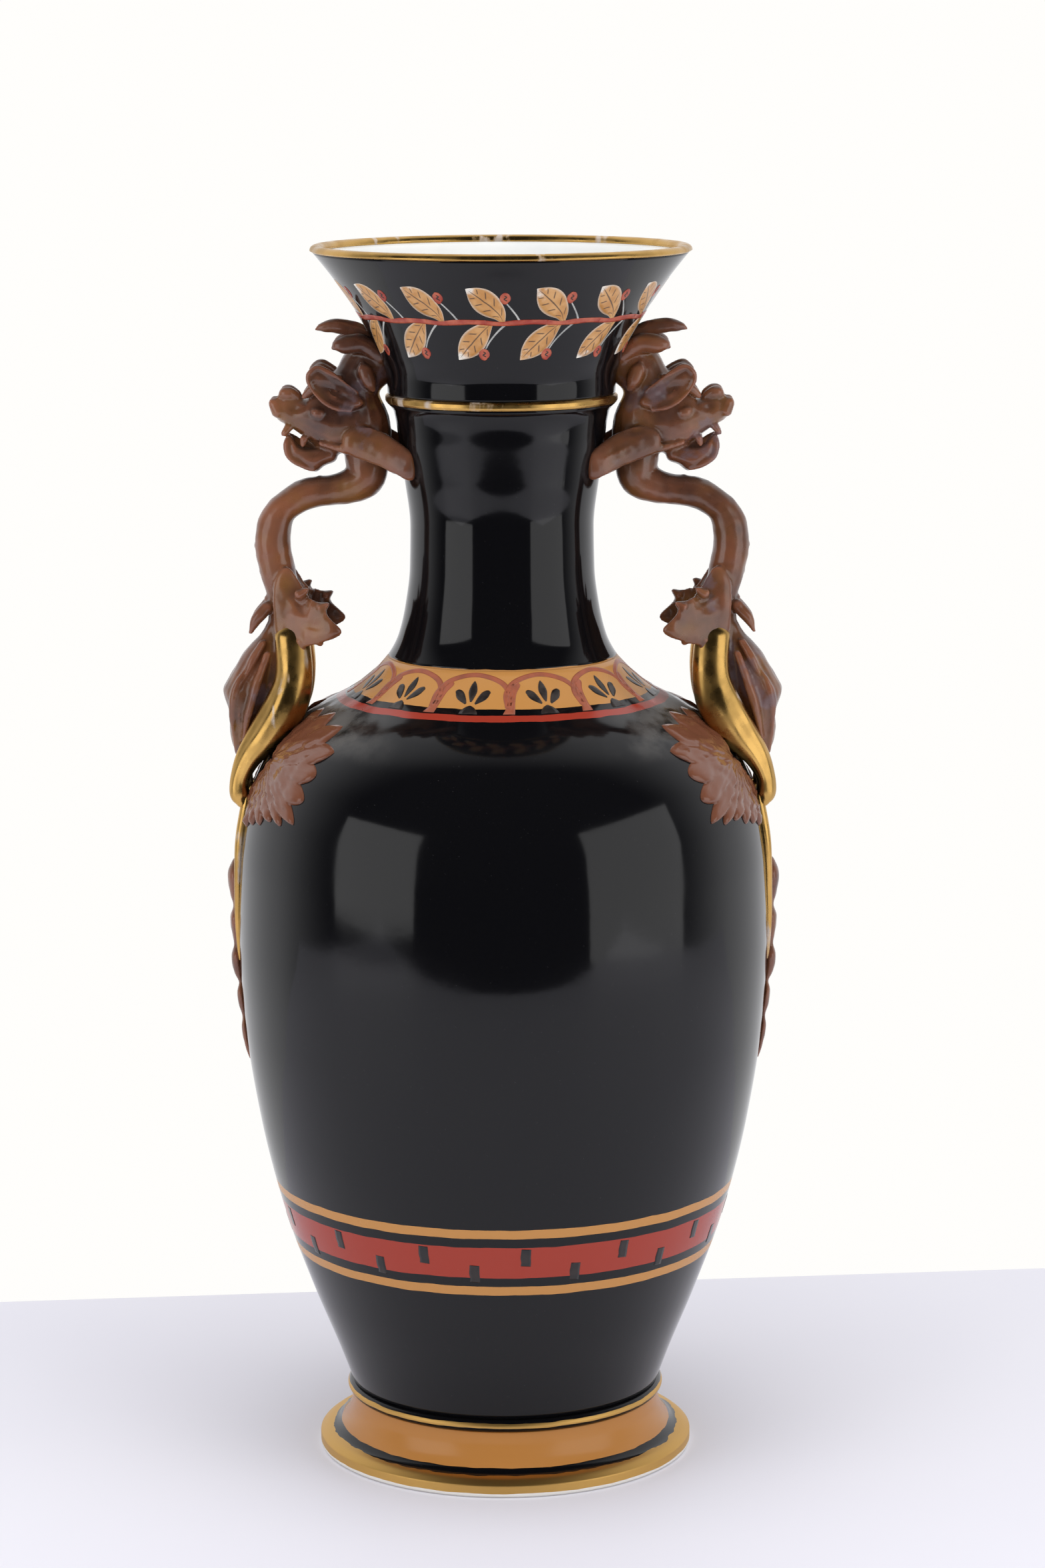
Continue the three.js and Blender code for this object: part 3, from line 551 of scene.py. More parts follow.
CREST = [[1, 6, 0, 3.6], [9, 12.5, 0, 3.5], [17.5, 14.6, 0, 2.9], [23, 14.3, 0, 2], [25.8, 13.3, 0, 0.7]]
HORN = [[0, 3, 6, 3.2], [7, 8, 7, 3.8], [13, 8.2, 8, 3.9], [17.2, 7.2, 8.5, 2.9], [18.8, 6.6, 8.5, 1]]
CURL = [[7.4, 1, 8.5, 0.9], [6.8, -1.5, 9.1, 2.7], [5, -6, 8.9, 2.9], [3.4, -9.4, 8.5, 1.2]]
EAR = [[7, -14.5], [12, -16.9], [17.5, -15.9], [22.2, -13.3], [26.7, -8.5], [28.5, -3.9], [25, -0.4],
       [20.5, -2.2], [14.5, -6.5], [9.5, -10.5]]
EAR_CORE = [[11.5, -13.6, 11.5, 2.6], [18.5, -10, 12, 3.2], [24.5, -4.5, 11.5, 2.8]]
FIN = [[15, -32.5], [6, -36.5], [-3, -40.2], [-11.8, -43.7], [-12.8, -34.6], [-5, -27.8], [5, -23], [14, -25]]
FIN_CORE = [[11, -29, 11, 2.6], [-2, -33.5, 14.5, 2.6], [-9.5, -37.5, 18, 2.2]]
COLLAR = [[-10, 76], [-17.6, 66], [-25.1, 62.6], [-25.9, 58.8], [-31.7, 51.7], [-22.6, 47.3], [-16.3, 45.3],
          [-9.2, 44.1], [-5.3, 47.6], [-4.2, 58], [-4.6, 70]]
COLLAR_CORE = [[-7.4, 68, 7, 2], [-10.5, 57, 10, 2.6], [-18, 54.5, 15.5, 2.2], [-27, 53, 20, 1.6]]
LEG = [[-11.6, 50, 10, 6.8, 5], [-12.1, 34, 12.5, 7.3, 6.5], [-8.8, 22, 13.5, 8.4, 7.2],
       [-2.1, 11.5, 13, 7.3, 6.6], [5.2, 2, 12.5, 5.1, 5], [9, -6.5, 12, 3.8, 3.8],
       [9.4, -13, 12, 3.9, 3.7], [8.6, -16.5, 12, 2.4, 2.6]]
MASK = [[-3.6, 55], [1.4, 48.4], [7.8, 41.6], [14.3, 31], [16.2, 26.2], [14.6, 20.5], [13.4, 16.5],
        [13.9, 11.5], [13.2, 5.8], [11.4, 1], [10.2, -9], [6, -9], [2, 8], [-3, 26], [-7, 42]]
MASK_CORE = [[-3, 48, 0, 5], [5.5, 32, 0, 10.5], [8.5, 20, 0, 11], [8.7, 8, 0, 8], [8.6, -3, 0, 4]]
HUSKS = [[-42, 18, 5.6, 4.9], [-60, 16, 4.8, 3.8], [-76, 15, 4.2, 3.7], [-91, 14, 3.4, 2.6],
         [-105, 16, 3, 2.4]]
BAND = [[-14, 12, 0.6, 2.6, 2.6], [-29, 12.3, 0.5, 2.2, 2.5], [-40, 11.6, 0.4, 1.9, 2.3],
        [-52, 9.4, 0.3, 1.7, 1.9], [-66, 6, 0.2, 1.4, 1.4], [-81, 3.2, 0, 0.8, 0.7]]

# Small forms laid on the large ones, in the same measures: some on the middle plane, some on both sides
MOUTH_SINGLE = [
    [[22, -33.6, 0, 2.2], [29, -32.8, 0, 2.2], [34, -29.4, 0, 1.6], [36.6, -26.8, 0, 0.6]],
    [[17, -44.4, 0, 2.2], [19, -44.6, 0, 1.8]],
    [[24.5, -45.4, 0, 2.3], [26.5, -45.8, 0, 1.8]],
    [[31.5, -47.2, 0, 2.2], [33.5, -48.4, 0, 1.8]],
]
SHOULDER_SINGLE = [
    [[-1, 92, 0, 2.1], [-0.2, 90, 0, 1.8]],
    [[1.4, 84, 0, 2], [1, 81.6, 0, 1.8]],
    [[-0.2, 73.6, 0, 2], [-1, 71.4, 0, 1.7]],
    [[-2, 62.6, 0, 2], [-2.4, 60.4, 0, 1.7]],
    [[9.8, 31.5, 0, 4], [11, 26.4, 0, 4.2], [10.4, 21, 0, 3.4]],
    [[10.6, 14.6, 0, 2.6], [10.8, 11.6, 0, 2.1]],
]
MOUTH_PAIRED = [
    [[40, -18, 4, 3.2], [42, -14.6, 4.4, 2.4]],
    [[33, -12.6, 4, 2.2], [37, -10.9, 5, 2.7], [39.4, -12.6, 4.4, 1.5]],
    [[17, -5, 8, 1.9], [22, -7, 9.4, 2.4], [27, -9, 9, 2.1], [30.4, -12, 8, 1.2]],
    [[23.6, -18.6, 9.4, 2.2], [25.8, -17.8, 9.6, 2.1]],
    [[36.5, -24, 4.4, 1.9], [38.4, -26.6, 4.8, 1.2]],
    [[30.4, -28.4, 5.4, 1.7], [31.2, -31.4, 5.4, 0.8]],
    [[36.6, -28, 2.6, 1.2], [37.3, -31.5, 3.4, 1.4], [36.2, -35.8, 4, 1.3], [32, -38.6, 4.4, 1.3],
     [27, -40.6, 4, 1]],
    [[9.5, -10.5, 11.5, 1], [14.5, -6.5, 13, 1.2], [20.5, -2.2, 13.6, 1.3], [25, -0.4, 13.4, 1.3],
     [28.2, -3.9, 13.2, 1.2], [26.7, -8.5, 13.4, 1.2], [22.2, -13.3, 13.4, 1.3], [17.5, -15.9, 13.2, 1.2],
     [12, -16.9, 12.6, 1]],
    [[24, -30, 8, 1.2], [14, -32.6, 10, 1.5], [4, -36, 12.6, 1.4], [-6, -40.6, 16, 1.2]],
]
SHOULDER_PAIRED = [
    [[-15, 65.4, 12.6, 2.6], [-17.6, 67.6, 13.8, 1.2]],
    [[-23.4, 61, 17.4, 2.4], [-26, 62.6, 18.6, 1.1]],
    [[-22, 49.6, 17, 2.5], [-23, 47, 17.4, 1.2]],
    [[-15.4, 47.6, 14, 2.7], [-15.8, 44.6, 14.4, 1.3]],
    [[-8.8, 47, 10.4, 2.6], [-8.4, 44, 11, 1.3]],
    [[-2, 60, 4, 2.6], [2.4, 55, 4.6, 2.3], [5, 49.4, 4.2, 0.7]],
    [[0, 46, 7, 1.6], [6, 36, 9.4, 2], [11, 26, 9.6, 2.1], [11.6, 14, 7.6, 1.7], [10.6, 2, 4.4, 1.2]],
    [[-2, 42, 9.6, 1.4], [2, 31, 11.6, 1.8], [5.6, 19, 11.4, 1.6], [8, 8, 8.6, 1.2]],
]


def on_body(up, side, lift):
    """Out, up and side of a point on the body's glaze, in millimetres."""
    height = SHOULDER[1] + up
    radius = float(body_radius(height * MM)) / MM + lift
    return [math.sqrt(radius ** 2 - side ** 2), height, side]


def dragon_parts():
    """The brown forms of the right handle."""
    parts = [
        limb(moved(NECK_TOP, MOUTH) + moved(NECK_FOOT, SHOULDER)),
        modelled(moved(HEAD, MOUTH), moved(HEAD_CORE, MOUTH)),
        modelled(moved(JAW, MOUTH), moved(JAW_CORE, MOUTH)),
        limb(moved(CREST, MOUTH)),
        modelled(moved(MASK, SHOULDER), moved(MASK_CORE, SHOULDER)),
    ]
    for sign in (-1, 1):
        parts += [
            limb(moved(mirrored(HORN, sign), MOUTH)),
            limb(moved(mirrored(CURL, sign), MOUTH)),
            modelled(moved(EAR, MOUTH), moved(mirrored(EAR_CORE, sign), MOUTH)),
            modelled(moved(FIN, MOUTH), moved(mirrored(FIN_CORE, sign), MOUTH)),
            modelled(moved(COLLAR, SHOULDER), moved(mirrored(COLLAR_CORE, sign), SHOULDER)),
        ]
    small = ((MOUTH, MOUTH_SINGLE, MOUTH_PAIRED), (SHOULDER, SHOULDER_SINGLE, SHOULDER_PAIRED))
    for seat, single, both in small:
        parts += [limb(moved(rows, seat), 14, 6) for rows in single]
        parts += [limb(moved(mirrored(rows, sign), seat), 14, 6) for rows in both for sign in (-1, 1)]
    husks = []
    for top, length, half_width, lift in HUSKS:
        husks.append([*on_body(top, 0, lift * 0.25), lift * 0.4, half_width * 0.45])
        husks.append([*on_body(top - length * 0.3, 0, lift * 0.4), lift * 0.6, half_width])
        husks.append([*on_body(top - length * 0.7, 0, lift * 0.3), lift * 0.5, half_width * 0.7])
    husks.append([*on_body(-122, 0, 0.2), 0.7, 0.6])
    parts.append(limb(husks))
    return parts


def handle_turn(side):
    """Both handles come from one mould: the left one is the right one turned half round."""
    return Matrix.Rotation(0.0 if side == "right" else math.pi, 4, "Z")


PLAIN_NODES = ["dragon_head", "dragon_neck", "dragon_jaw", "crest_horn", "mask_leaf", "pendant"]
PAIRED_NODES = ["horn", "curl", "ear", "cheek_fin", "collar_leaf"]


def paired(side, names):
    return [f"{side}_{name}_{place}" for name in names for place in ("front", "back")]


def inside(radius_at, height, wall):
    """Radius of the inner face of a wall of even thickness."""
    step = 0.5 * MM
    slope = (radius_at(height + step) - radius_at(height - step)) / (2 * step)
    return float(radius_at(height) - wall * np.hypot(1, slope))


def radii_of(name, highest=1.0):
    """Radii of a node's points up to a height."""
    points = (vertex.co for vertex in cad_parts[name].data.vertices)
    return [math.hypot(point.x, point.y) for point in points if point.z < highest]


def rows_along(radius_at, low, high, count):
    """Rows of radius and height along an outline."""
    return [(float(radius_at(height)), height) for height in np.linspace(low, high, count)]


class VASE_OT_vessel(bpy.types.Operator):
    """Turns the glazed vessel with its painted bands"""

    bl_idname = "vase.vessel"
    bl_label = "Glazed vessel"

    def execute(self, context):
        finish = context.scene.vase_finish
        black, ochre, red, gold = (tuple(c) for c in (finish.black, finish.ochre, finish.red, finish.gold))
        white = (0.75, 0.73, 0.68)
        foot_ochre = (0.47, 0.2, 0.045)
        inner = inside_material()
        bare = clay_material()
        glaze = glaze_material("painted_glaze", [
            (83.7, black, 0.0), (88.1, ochre, 0.0), (90.5, black, 0.0), (104.0, red, 0.0),
            (108.1, black, 0.0), (112.4, ochre, 0.0), (302.2, black, 0.0), (304.4, red, 0.0),
            (306.0, black, 0.0), (320.5, ochre, 0.0), (480.0, black, 0.0),
        ])
        foot_glaze = glaze_material("foot_glaze", [
            (1.3, white, 0.0), (6.3, gold, 1.0), (6.8, white, 0.0), (7.7, black, 0.0),
            (21.5, foot_ochre, 0.0), (22.6, black, 0.0), (25.4, gold, 1.0), (30.0, black, 0.0),
        ])
        gilding = gold_material(finish)

        low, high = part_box("body")[0].z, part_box("body")[1].z
        floor_top = low + 5.5 * MM
        outer = [(0, low)] + rows_along(body_radius, low, high, 150)
        inner_rows = [(inside(body_radius, z, WALL), z) for z in np.linspace(high, floor_top + 6 * MM, 70)]
        profile = outer + inner_rows + [(inner_rows[-1][0] - 3 * MM, floor_top), (0, floor_top)]
        settle(turned("body_glazed", profile, [glaze, inner], len(outer) - 1), "black_glaze", "body")

        heights, _ = outline_of("neck")
        bore = min(radii_of("neck_bead"))
        outer = rows_along(body_radius, heights[0], heights[-1], 70)
        inner_rows = [(inside(body_radius, z, WALL), z) for z in np.linspace(heights[-2], heights[0], 30)]
        profile = outer + [(bore, heights[-1])] + inner_rows
        settle(turned("neck_glazed", profile, [glaze, inner], len(outer)), "black_glaze", "neck")

        low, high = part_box("mouth")[0].z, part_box("mouth")[1].z
        outer = rows_along(mouth_radius, low, high, 60)
        inner_rows = [(inside(mouth_radius, z, MOUTH_WALL), z) for z in np.linspace(high, low + 6 * MM, 40)]
        profile = outer + inner_rows + [(bore, low)]
        settle(turned("mouth_glazed", profile, [glaze, inner], len(outer)), "black_glaze", "mouth")

        rim_low, rim_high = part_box("lip")[0].z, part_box("lip")[1].z
        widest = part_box("lip")[1].x
        edge_in = inside(mouth_radius, rim_low + 0.01 * MM, MOUTH_WALL)
        half, middle = (widest - edge_in) / 2, (widest + edge_in) / 2
        arc = [(middle + half * math.cos(a), rim_low + (rim_high - rim_low) * math.sin(a) ** 0.7)
               for a in np.linspace(0.12, math.pi - 0.12, 24)]
        root = [(float(mouth_radius(rim_low)), rim_low)]
        settle(turned("lip_gilt", root + arc + [(edge_in, rim_low)], [gilding]), "gilding", "lip")

        for name, material in (("neck_bead", gilding), ("foot_bead", foot_glaze)):
            ring_low, ring_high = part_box(name)[0].z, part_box(name)[1].z
            outer = rows_along(smooth_radius(*outline_of(name)), ring_low, ring_high, 20)
            inner_radius = min(radii_of(name))
            profile = outer + [(inner_radius, ring_high), (inner_radius, ring_low)]
            settle(turned(f"{name}_ring", profile, [material]), "gilding", name)

        heights, radii = outline_of("foot")
        low, high = heights[0], heights[-1]
        outer = [(min(radii_of("foot", MM)), low)] + rows_along(smooth_radius(heights, radii), low, high, 90)
        bore = min(radii_of("foot"))
        profile = outer + [(bore, high), (bore + 3.7 * MM, 0.7 * high)]
        settle(turned("foot_glazed", profile, [foot_glaze, bare], len(outer)), "ochre_enamel", "foot")
        return {"FINISHED"}


# Brush strokes, laid out flat as turn round the vase, height and lift, then wrapped onto it

def stroke_mesh(name, strokes, radius_at, lift):
    """Closed flat strokes, each of points across and up from a height, half widths and that height."""
    verts, faces, marks = [], [], []
    for points, widths, level in strokes:
        rows = catmull([[*point, width] for point, width in zip(points, widths)], 6)
        centre, half = rows[:, :2], np.maximum(rows[:, 2], 0.02)
        tangent = np.gradient(centre, axis=0)
        tangent /= np.maximum(np.linalg.norm(tangent, axis=1), 1e-9)[:, None]
        normal = np.column_stack([-tangent[:, 1], tangent[:, 0]])
        shares = (-1, -0.5, 0, 0.5, 1)
        first = len(verts)
        for index, (point, width) in enumerate(zip(centre, half)):
            along = index / (len(centre) - 1)
            for raised in (lift, -3 * lift):
                for share in shares:
                    x, up = point + normal[index] * width * share
                    height = (level + up) * MM
                    verts.append((x * MM / float(radius_at(height)), height, raised))
                    marks.append((along, share, 0.0))
        width_count = len(shares)
        ring = list(range(width_count)) + list(range(2 * width_count - 1, width_count - 1, -1))
        size = 2 * width_count
        for index in range(len(centre) - 1):
            low, high = first + index * size, first + (index + 1) * size
            for place in range(size):
                beside = (place + 1) % size
                here, there = ring[place], ring[beside]
                faces.append((low + here, low + there, high + there, high + here))
        faces.append(tuple(first + place for place in reversed(ring)))
        faces.append(tuple(first + (len(centre) - 1) * size + place for place in ring))
    made = mesh_object(name, verts, faces, [])
    mark = made.data.attributes.new("stroke", "FLOAT_VECTOR", "POINT")
    mark.data.foreach_set("vector", np.array(marks, float).ravel())
    return made


def wrap_tree():
    """Geometry nodes that repeat a flat motif round the vase and lay it on the glaze."""
    tree = bpy.data.node_groups.new("wrap_round_vase", "GeometryNodeTree")
    for name, kind in (("Motif", "Geometry"), ("Count", "Int"), ("Start", "Float"), ("Vessel", "Object"),
                       ("Material", "Material")):
        tree.interface.new_socket(name, in_out="INPUT", socket_type=f"NodeSocket{kind}")
    tree.interface.new_socket("Geometry", in_out="OUTPUT", socket_type="NodeSocketGeometry")
    given = tree.nodes.new("NodeGroupInput").outputs
    spacing = maths(tree, "DIVIDE", 2 * math.pi, given["Count"])
    start = node(tree, "ShaderNodeCombineXYZ", {"X": given["Start"]}).outputs[0]
    step = node(tree, "ShaderNodeCombineXYZ", {"X": spacing}).outputs[0]
    line = node(tree, "GeometryNodeMeshLine", {
        "Count": given["Count"], "Start Location": start, "Offset": step})
    copies = node(tree, "GeometryNodeInstanceOnPoints", {
        "Points": line.outputs[0], "Instance": given["Motif"]})
    flat = node(tree, "GeometryNodeRealizeInstances", {0: copies.outputs[0]})
    place = node(tree, "ShaderNodeSeparateXYZ", {0: node(tree, "GeometryNodeInputPosition").outputs[0]})
    turn, height, lift = place.outputs
    outward = node(tree, "ShaderNodeCombineXYZ", {
        "X": maths(tree, "COSINE", turn), "Y": maths(tree, "SINE", turn)}).outputs[0]

    def vectors(operation, first, **second):
        inputs = {0: first, **{key if key == "Scale" else 1: value for key, value in second.items()}}
        return node(tree, "ShaderNodeVectorMath", inputs, operation=operation).outputs[0]

    far = vectors("SCALE", outward, Scale=0.3)
    up = node(tree, "ShaderNodeCombineXYZ", {"Z": height}).outputs[0]
    source = vectors("ADD", far, other=up)
    inward = vectors("SCALE", outward, Scale=-1.0)
    vessel = node(tree, "GeometryNodeObjectInfo", {"Object": given["Vessel"]})
    ray = node(tree, "GeometryNodeRaycast", {
        "Target Geometry": vessel.outputs["Geometry"], "Source Position": source,
        "Ray Direction": inward, "Ray Length": 0.3})
    raised = vectors("SCALE", ray.outputs["Hit Normal"], Scale=lift)
    laid = vectors("ADD", ray.outputs["Hit Position"], other=raised)
    wrapped = node(tree, "GeometryNodeSetPosition", {"Geometry": flat.outputs[0], "Position": laid})
    coloured = node(tree, "GeometryNodeSetMaterial", {
        "Geometry": wrapped.outputs[0], "Material": given["Material"]})
    out = tree.nodes.new("NodeGroupOutput")
    tree.links.new(coloured.outputs[0], out.inputs[0])
    return tree


def wrap(piece, count, start_degrees, vessel, material):
    """Repeats a flat piece round the vessel, start_degrees being counted from the front towards the right."""
    tree = bpy.data.node_groups.get("wrap_round_vase") or wrap_tree()
    modifier = piece.modifiers.new("wrap", "NODES")
    modifier.node_group = tree
    values = {"Count": count, "Start": math.radians(start_degrees - 90), "Vessel": bpy.data.objects[vessel],
              "Material": material}
    for item in tree.interface.items_tree:
        if item.in_out == "INPUT" and item.name in values:
            modifier[item.identifier] = values[item.name]
    piece.data.update()
    finished(piece)
    face_outwards(piece.data)
    piece.data.polygons.foreach_set("use_smooth", [True] * len(piece.data.polygons))
    return settle(piece, "black_glaze")


STEM_LEVEL = 453.5
LEAF_HALF_WIDTHS = (0.5, 2.9, 4.5, 4.6, 3.3, 1.3, 0.1)


class VASE_OT_laurel(bpy.types.Operator):
    """Paints the laurel wreath round the mouth"""

    bl_idname = "vase.laurel"
    bl_label = "Laurel wreath"

    def execute(self, context):
        finish = context.scene.vase_finish
        lift = finish.enamel_lift
        leaf_paint = leaf_material(finish)
        red_paint = stroke_material("iron_red_strokes", tuple(finish.red), (0.5, 0.12, 0.06))
        grey_paint = stroke_material("grey_stalks", (0.5, 0.5, 0.47), (0.28, 0.29, 0.28))
        black_paint = stroke_material("black_lines", (0.02, 0.015, 0.012), (0.04, 0.03, 0.02))
        upper = [(0, 0), (-2, 3.6), (-5.2, 6.6), (-8.4, 9), (-11.2, 11), (-13.4, 12.5), (-14.6, 13.2)]
        lower = [(0, 0), (-3, -2.6), (-6, -5.8), (-8.6, -8.8), (-10.8, -11.4), (-12.4, -13.4), (-13.2, -14.4)]
        upper_stalk = [(6, 0.6), (4.6, 3), (2.6, 5.6), (0.9, 7.6)]
        lower_stalk = [(5, -0.6), (2, -3.4), (-1, -7), (-2.8, -10.2)]
        for name, count, start, leaf, (x, up), stalk in (
            ("upper", finish.upper_leaves, 1.3, upper, (0.4, 9.6), upper_stalk),
            ("lower", finish.lower_leaves, -3.3, lower, (-3.4, -12.2), lower_stalk),
        ):
            ball = [(x + 0.5, up - 2.2), (x + 0.2, up - 1.4), (x, up), (x - 0.3, up + 1.4),
                    (x - 0.5, up + 2.1)]
            curl = [(x + 0.7, up - 0.9), (x - 0.4, up - 0.2), (x + 0.5, up + 0.5), (x - 0.3, up + 1.1)]
            for part, line, widths, height, paint in (
                ("leaves", leaf, LEAF_HALF_WIDTHS, lift, leaf_paint),
                ("berries", ball, (0.3, 1.5, 2.05, 1.5, 0.3), 1.4 * lift, red_paint),
                ("berry_lines", curl, (0.15, 0.2, 0.2, 0.12), 2.2 * lift, black_paint),
                ("stalks", stalk, (0.4, 0.32, 0.28, 0.22), lift, grey_paint),
            ):
                strokes = [(line, widths, STEM_LEVEL)]
                made = stroke_mesh(f"laurel_{part}_{name}", strokes, mouth_radius, height)
                wrap(made, count, start, "mouth_glazed", paint)
        stem_length = 2 * math.pi * float(mouth_radius(STEM_LEVEL * MM)) / MM / finish.upper_leaves
        half = stem_length / 2 + 0.3
        stem = [(-half, 0.15), (-half / 2, -0.3), (0, 0.1), (half / 2, 0.35), (half, 0.15)]
        strokes = [(stem, (0.95, 0.8, 1.05, 0.9, 0.95), STEM_LEVEL)]
        stems = stroke_mesh("laurel_stem", strokes, mouth_radius, 1.2 * lift)
        wrap(stems, finish.upper_leaves, 6.0, "mouth_glazed", red_paint)
        return {"FINISHED"}


class VASE_OT_palmettes(bpy.types.Operator):
    """Paints the palmettes under their arches on the shoulder"""

    bl_idname = "vase.palmettes"
    bl_label = "Palmettes"

    def execute(self, context):
        finish = context.scene.vase_finish
        lift = finish.enamel_lift
        black_paint = stroke_material("palmette_black", (0.012, 0.01, 0.01), (0.05, 0.04, 0.035))
        red_paint = stroke_material("palmette_red", (0.36, 0.1, 0.05), (0.27, 0.08, 0.045))
        level = 306.2
        drops = [
            ([(0, 3.6), (0, 5), (0, 7), (0, 9), (0, 10.4)], (0.3, 1, 1.6, 1.1, 0.2), level),
            ([(-1.8, 3), (-3, 4.2), (-4.6, 5.6), (-5.9, 6.5), (-6.8, 6.8)], (0.3, 1, 1.5, 1.1, 0.2), level),
            ([(1.8, 3), (3, 4.2), (4.6, 5.6), (5.9, 6.5), (6.8, 6.8)], (0.3, 1, 1.5, 1.1, 0.2), level),
            ([(0, -0.2), (0, 0.5), (0, 1.1), (0, 1.8), (0, 2.4)], (3.6, 3.3, 2.7, 1.7, 0.3), level),
        ]
        half = math.pi * float(body_radius(level * MM)) / MM / finish.palmettes
        arch = [(-half + 0.4, 1.5), (-half + 1.4, 6), (-half * 0.6, 10.4), (0, 12.6), (half * 0.6, 10.4),
                (half - 1.4, 6), (half - 0.4, 1.5)]
        trunk = [(half, -0.2), (half, 3), (half, 6.4), (half, 9), (half, 10.2)]
        arches = [
            (arch, (1.1, 0.95, 0.8, 0.75, 0.8, 0.95, 1.1), level),
            (trunk, (2.3, 1.3, 0.9, 1.7, 0.3), level),
        ]
        for name, strokes, paint in (("drops", drops, black_paint), ("arches", arches, red_paint)):
            made = stroke_mesh(f"palmette_{name}", strokes, body_radius, lift)
            wrap(made, finish.palmettes, 17.6, "body_glazed", paint)
        return {"FINISHED"}


class VASE_OT_key_pattern(bpy.types.Operator):
    """Paints the bars of the key pattern round the lower body"""

    bl_idname = "vase.key_pattern"
    bl_label = "Key pattern"

    def execute(self, context):
        finish = context.scene.vase_finish
        black_paint = stroke_material("key_black", tuple(finish.black), (0.02, 0.012, 0.01), 0.14)
        for name, start, low, high in (("upper", 5.5, 97.1, 104.3), ("lower", -7.4, 90.2, 97.4)):
            middle = (low + high) / 2
            reach = high - middle
            bar = [(0, -reach), (0.1, -reach / 2), (-0.1, 0), (0, reach / 2), (0.1, reach)]
            strokes = [(bar, (1.9, 1.85, 1.95, 1.9, 1.85), middle)]
            made = stroke_mesh(f"key_bars_{name}", strokes, body_radius, finish.enamel_lift)
            wrap(made, finish.key_bars, start, "body_glazed", black_paint)
        return {"FINISHED"}


def hollowed(points, normals, centre, radii, depth):
    """Points pushed in along their normals round a centre, as a thumb would press clay."""
    distance = np.sqrt((((points - centre) / radii) ** 2).sum(1))
    return points - normals * (depth * np.exp(-distance ** 2 * 1.6))[:, None]


# Thumb marks of the modeller on the right handle: seat, out, up, side, three radii and depth, in millimetres
PRESSED = [
    (MOUTH, 19.5, -8.5, 15, 6.5, 4, 4.2, 2.6),
    (MOUTH, 14, -12, 15, 4.5, 4, 3.4, 1.9),
    (MOUTH, 34.5, -16.5, 9, 3.6, 3, 3.2, 1.4),
    (MOUTH, 30, -11.5, 0, 3, 5, 3, 1.6),
    (MOUTH, 22, 1.5, 0, 5, 3.2, 5, 1.4),
    (MOUTH, 18, 4, 9, 3, 4, 2.2, 1),
    (MOUTH, 5, -25, 13, 5, 5, 2.4, 0.9),
    (MOUTH, 26.5, -34.5, 7, 4.4, 3, 2.2, 0.9),
    (SHOULDER, 7.5, 35, 11.5, 3, 5, 7, 1.3),
    (SHOULDER, 10.5, 12, 9, 3, 4, 5, 1),
    (SHOULDER, -15, 62, 14, 4, 4, 4, 0.9),
    (SHOULDER, -20, 54, 20, 6, 4, 3, 0.8),
]


class VASE_OT_dragons(bpy.types.Operator):
    """Models the brown dragons of both handles"""

    bl_idname = "vase.dragons"
    bl_label = "Dragons"

    def execute(self, context):
        finish = context.scene.vase_finish
        enamel = brown_material(finish)
        verts, faces = joined(dragon_parts())
        clay = mesh_object("dragon_clay", verts * MM, faces, [enamel])
        face_outwards(clay.data)
        fuse = clay.modifiers.new("fuse", "REMESH")
        fuse.mode = "VOXEL"
        fuse.voxel_size = finish.clay_grain
        fuse.use_smooth_shade = True
        soften = clay.modifiers.new("soften", "SMOOTH")
        soften.factor = 0.5
        soften.iterations = 4
        finished(clay)
        mesh = clay.data
        count = len(mesh.vertices)
        points = np.empty(count * 3)
        mesh.vertices.foreach_get("co", points)
        points = points.reshape(-1, 3)
        normals = np.empty(count * 3)
        mesh.vertex_normals.foreach_get("vector", normals)
        normals = normals.reshape(-1, 3)
        for seat, out, up, side, *radii, depth in PRESSED:
            for sign in (-1, 1) if side else (1,):
                centre = np.array([seat[0] + out, sign * side, seat[1] + up]) * MM
                points = hollowed(points, normals, centre, np.array(radii) * MM, depth * MM)
        grain = np.array([noise.noise(Vector(point) * 130) * 0.3 + noise.noise(Vector(point) * 320) * 0.14
                          for point in points])
        points += normals * (grain * MM)[:, None]
        mesh.vertices.foreach_set("co", points.ravel())
        mesh.update()
        for side in ("right", "left"):
            copy = bpy.data.objects.new(f"{side}_dragon", mesh.copy())
            context.scene.collection.objects.link(copy)
            copy.data.transform(handle_turn(side))
            copy.data.materials.clear()
            copy.data.materials.append(enamel)
            plain = [f"{side}_{name}" for name in PLAIN_NODES]
            settle(copy, "brown_enamel", *plain, *paired(side, PAIRED_NODES))
        bpy.data.objects.remove(clay)
        return {"FINISHED"}


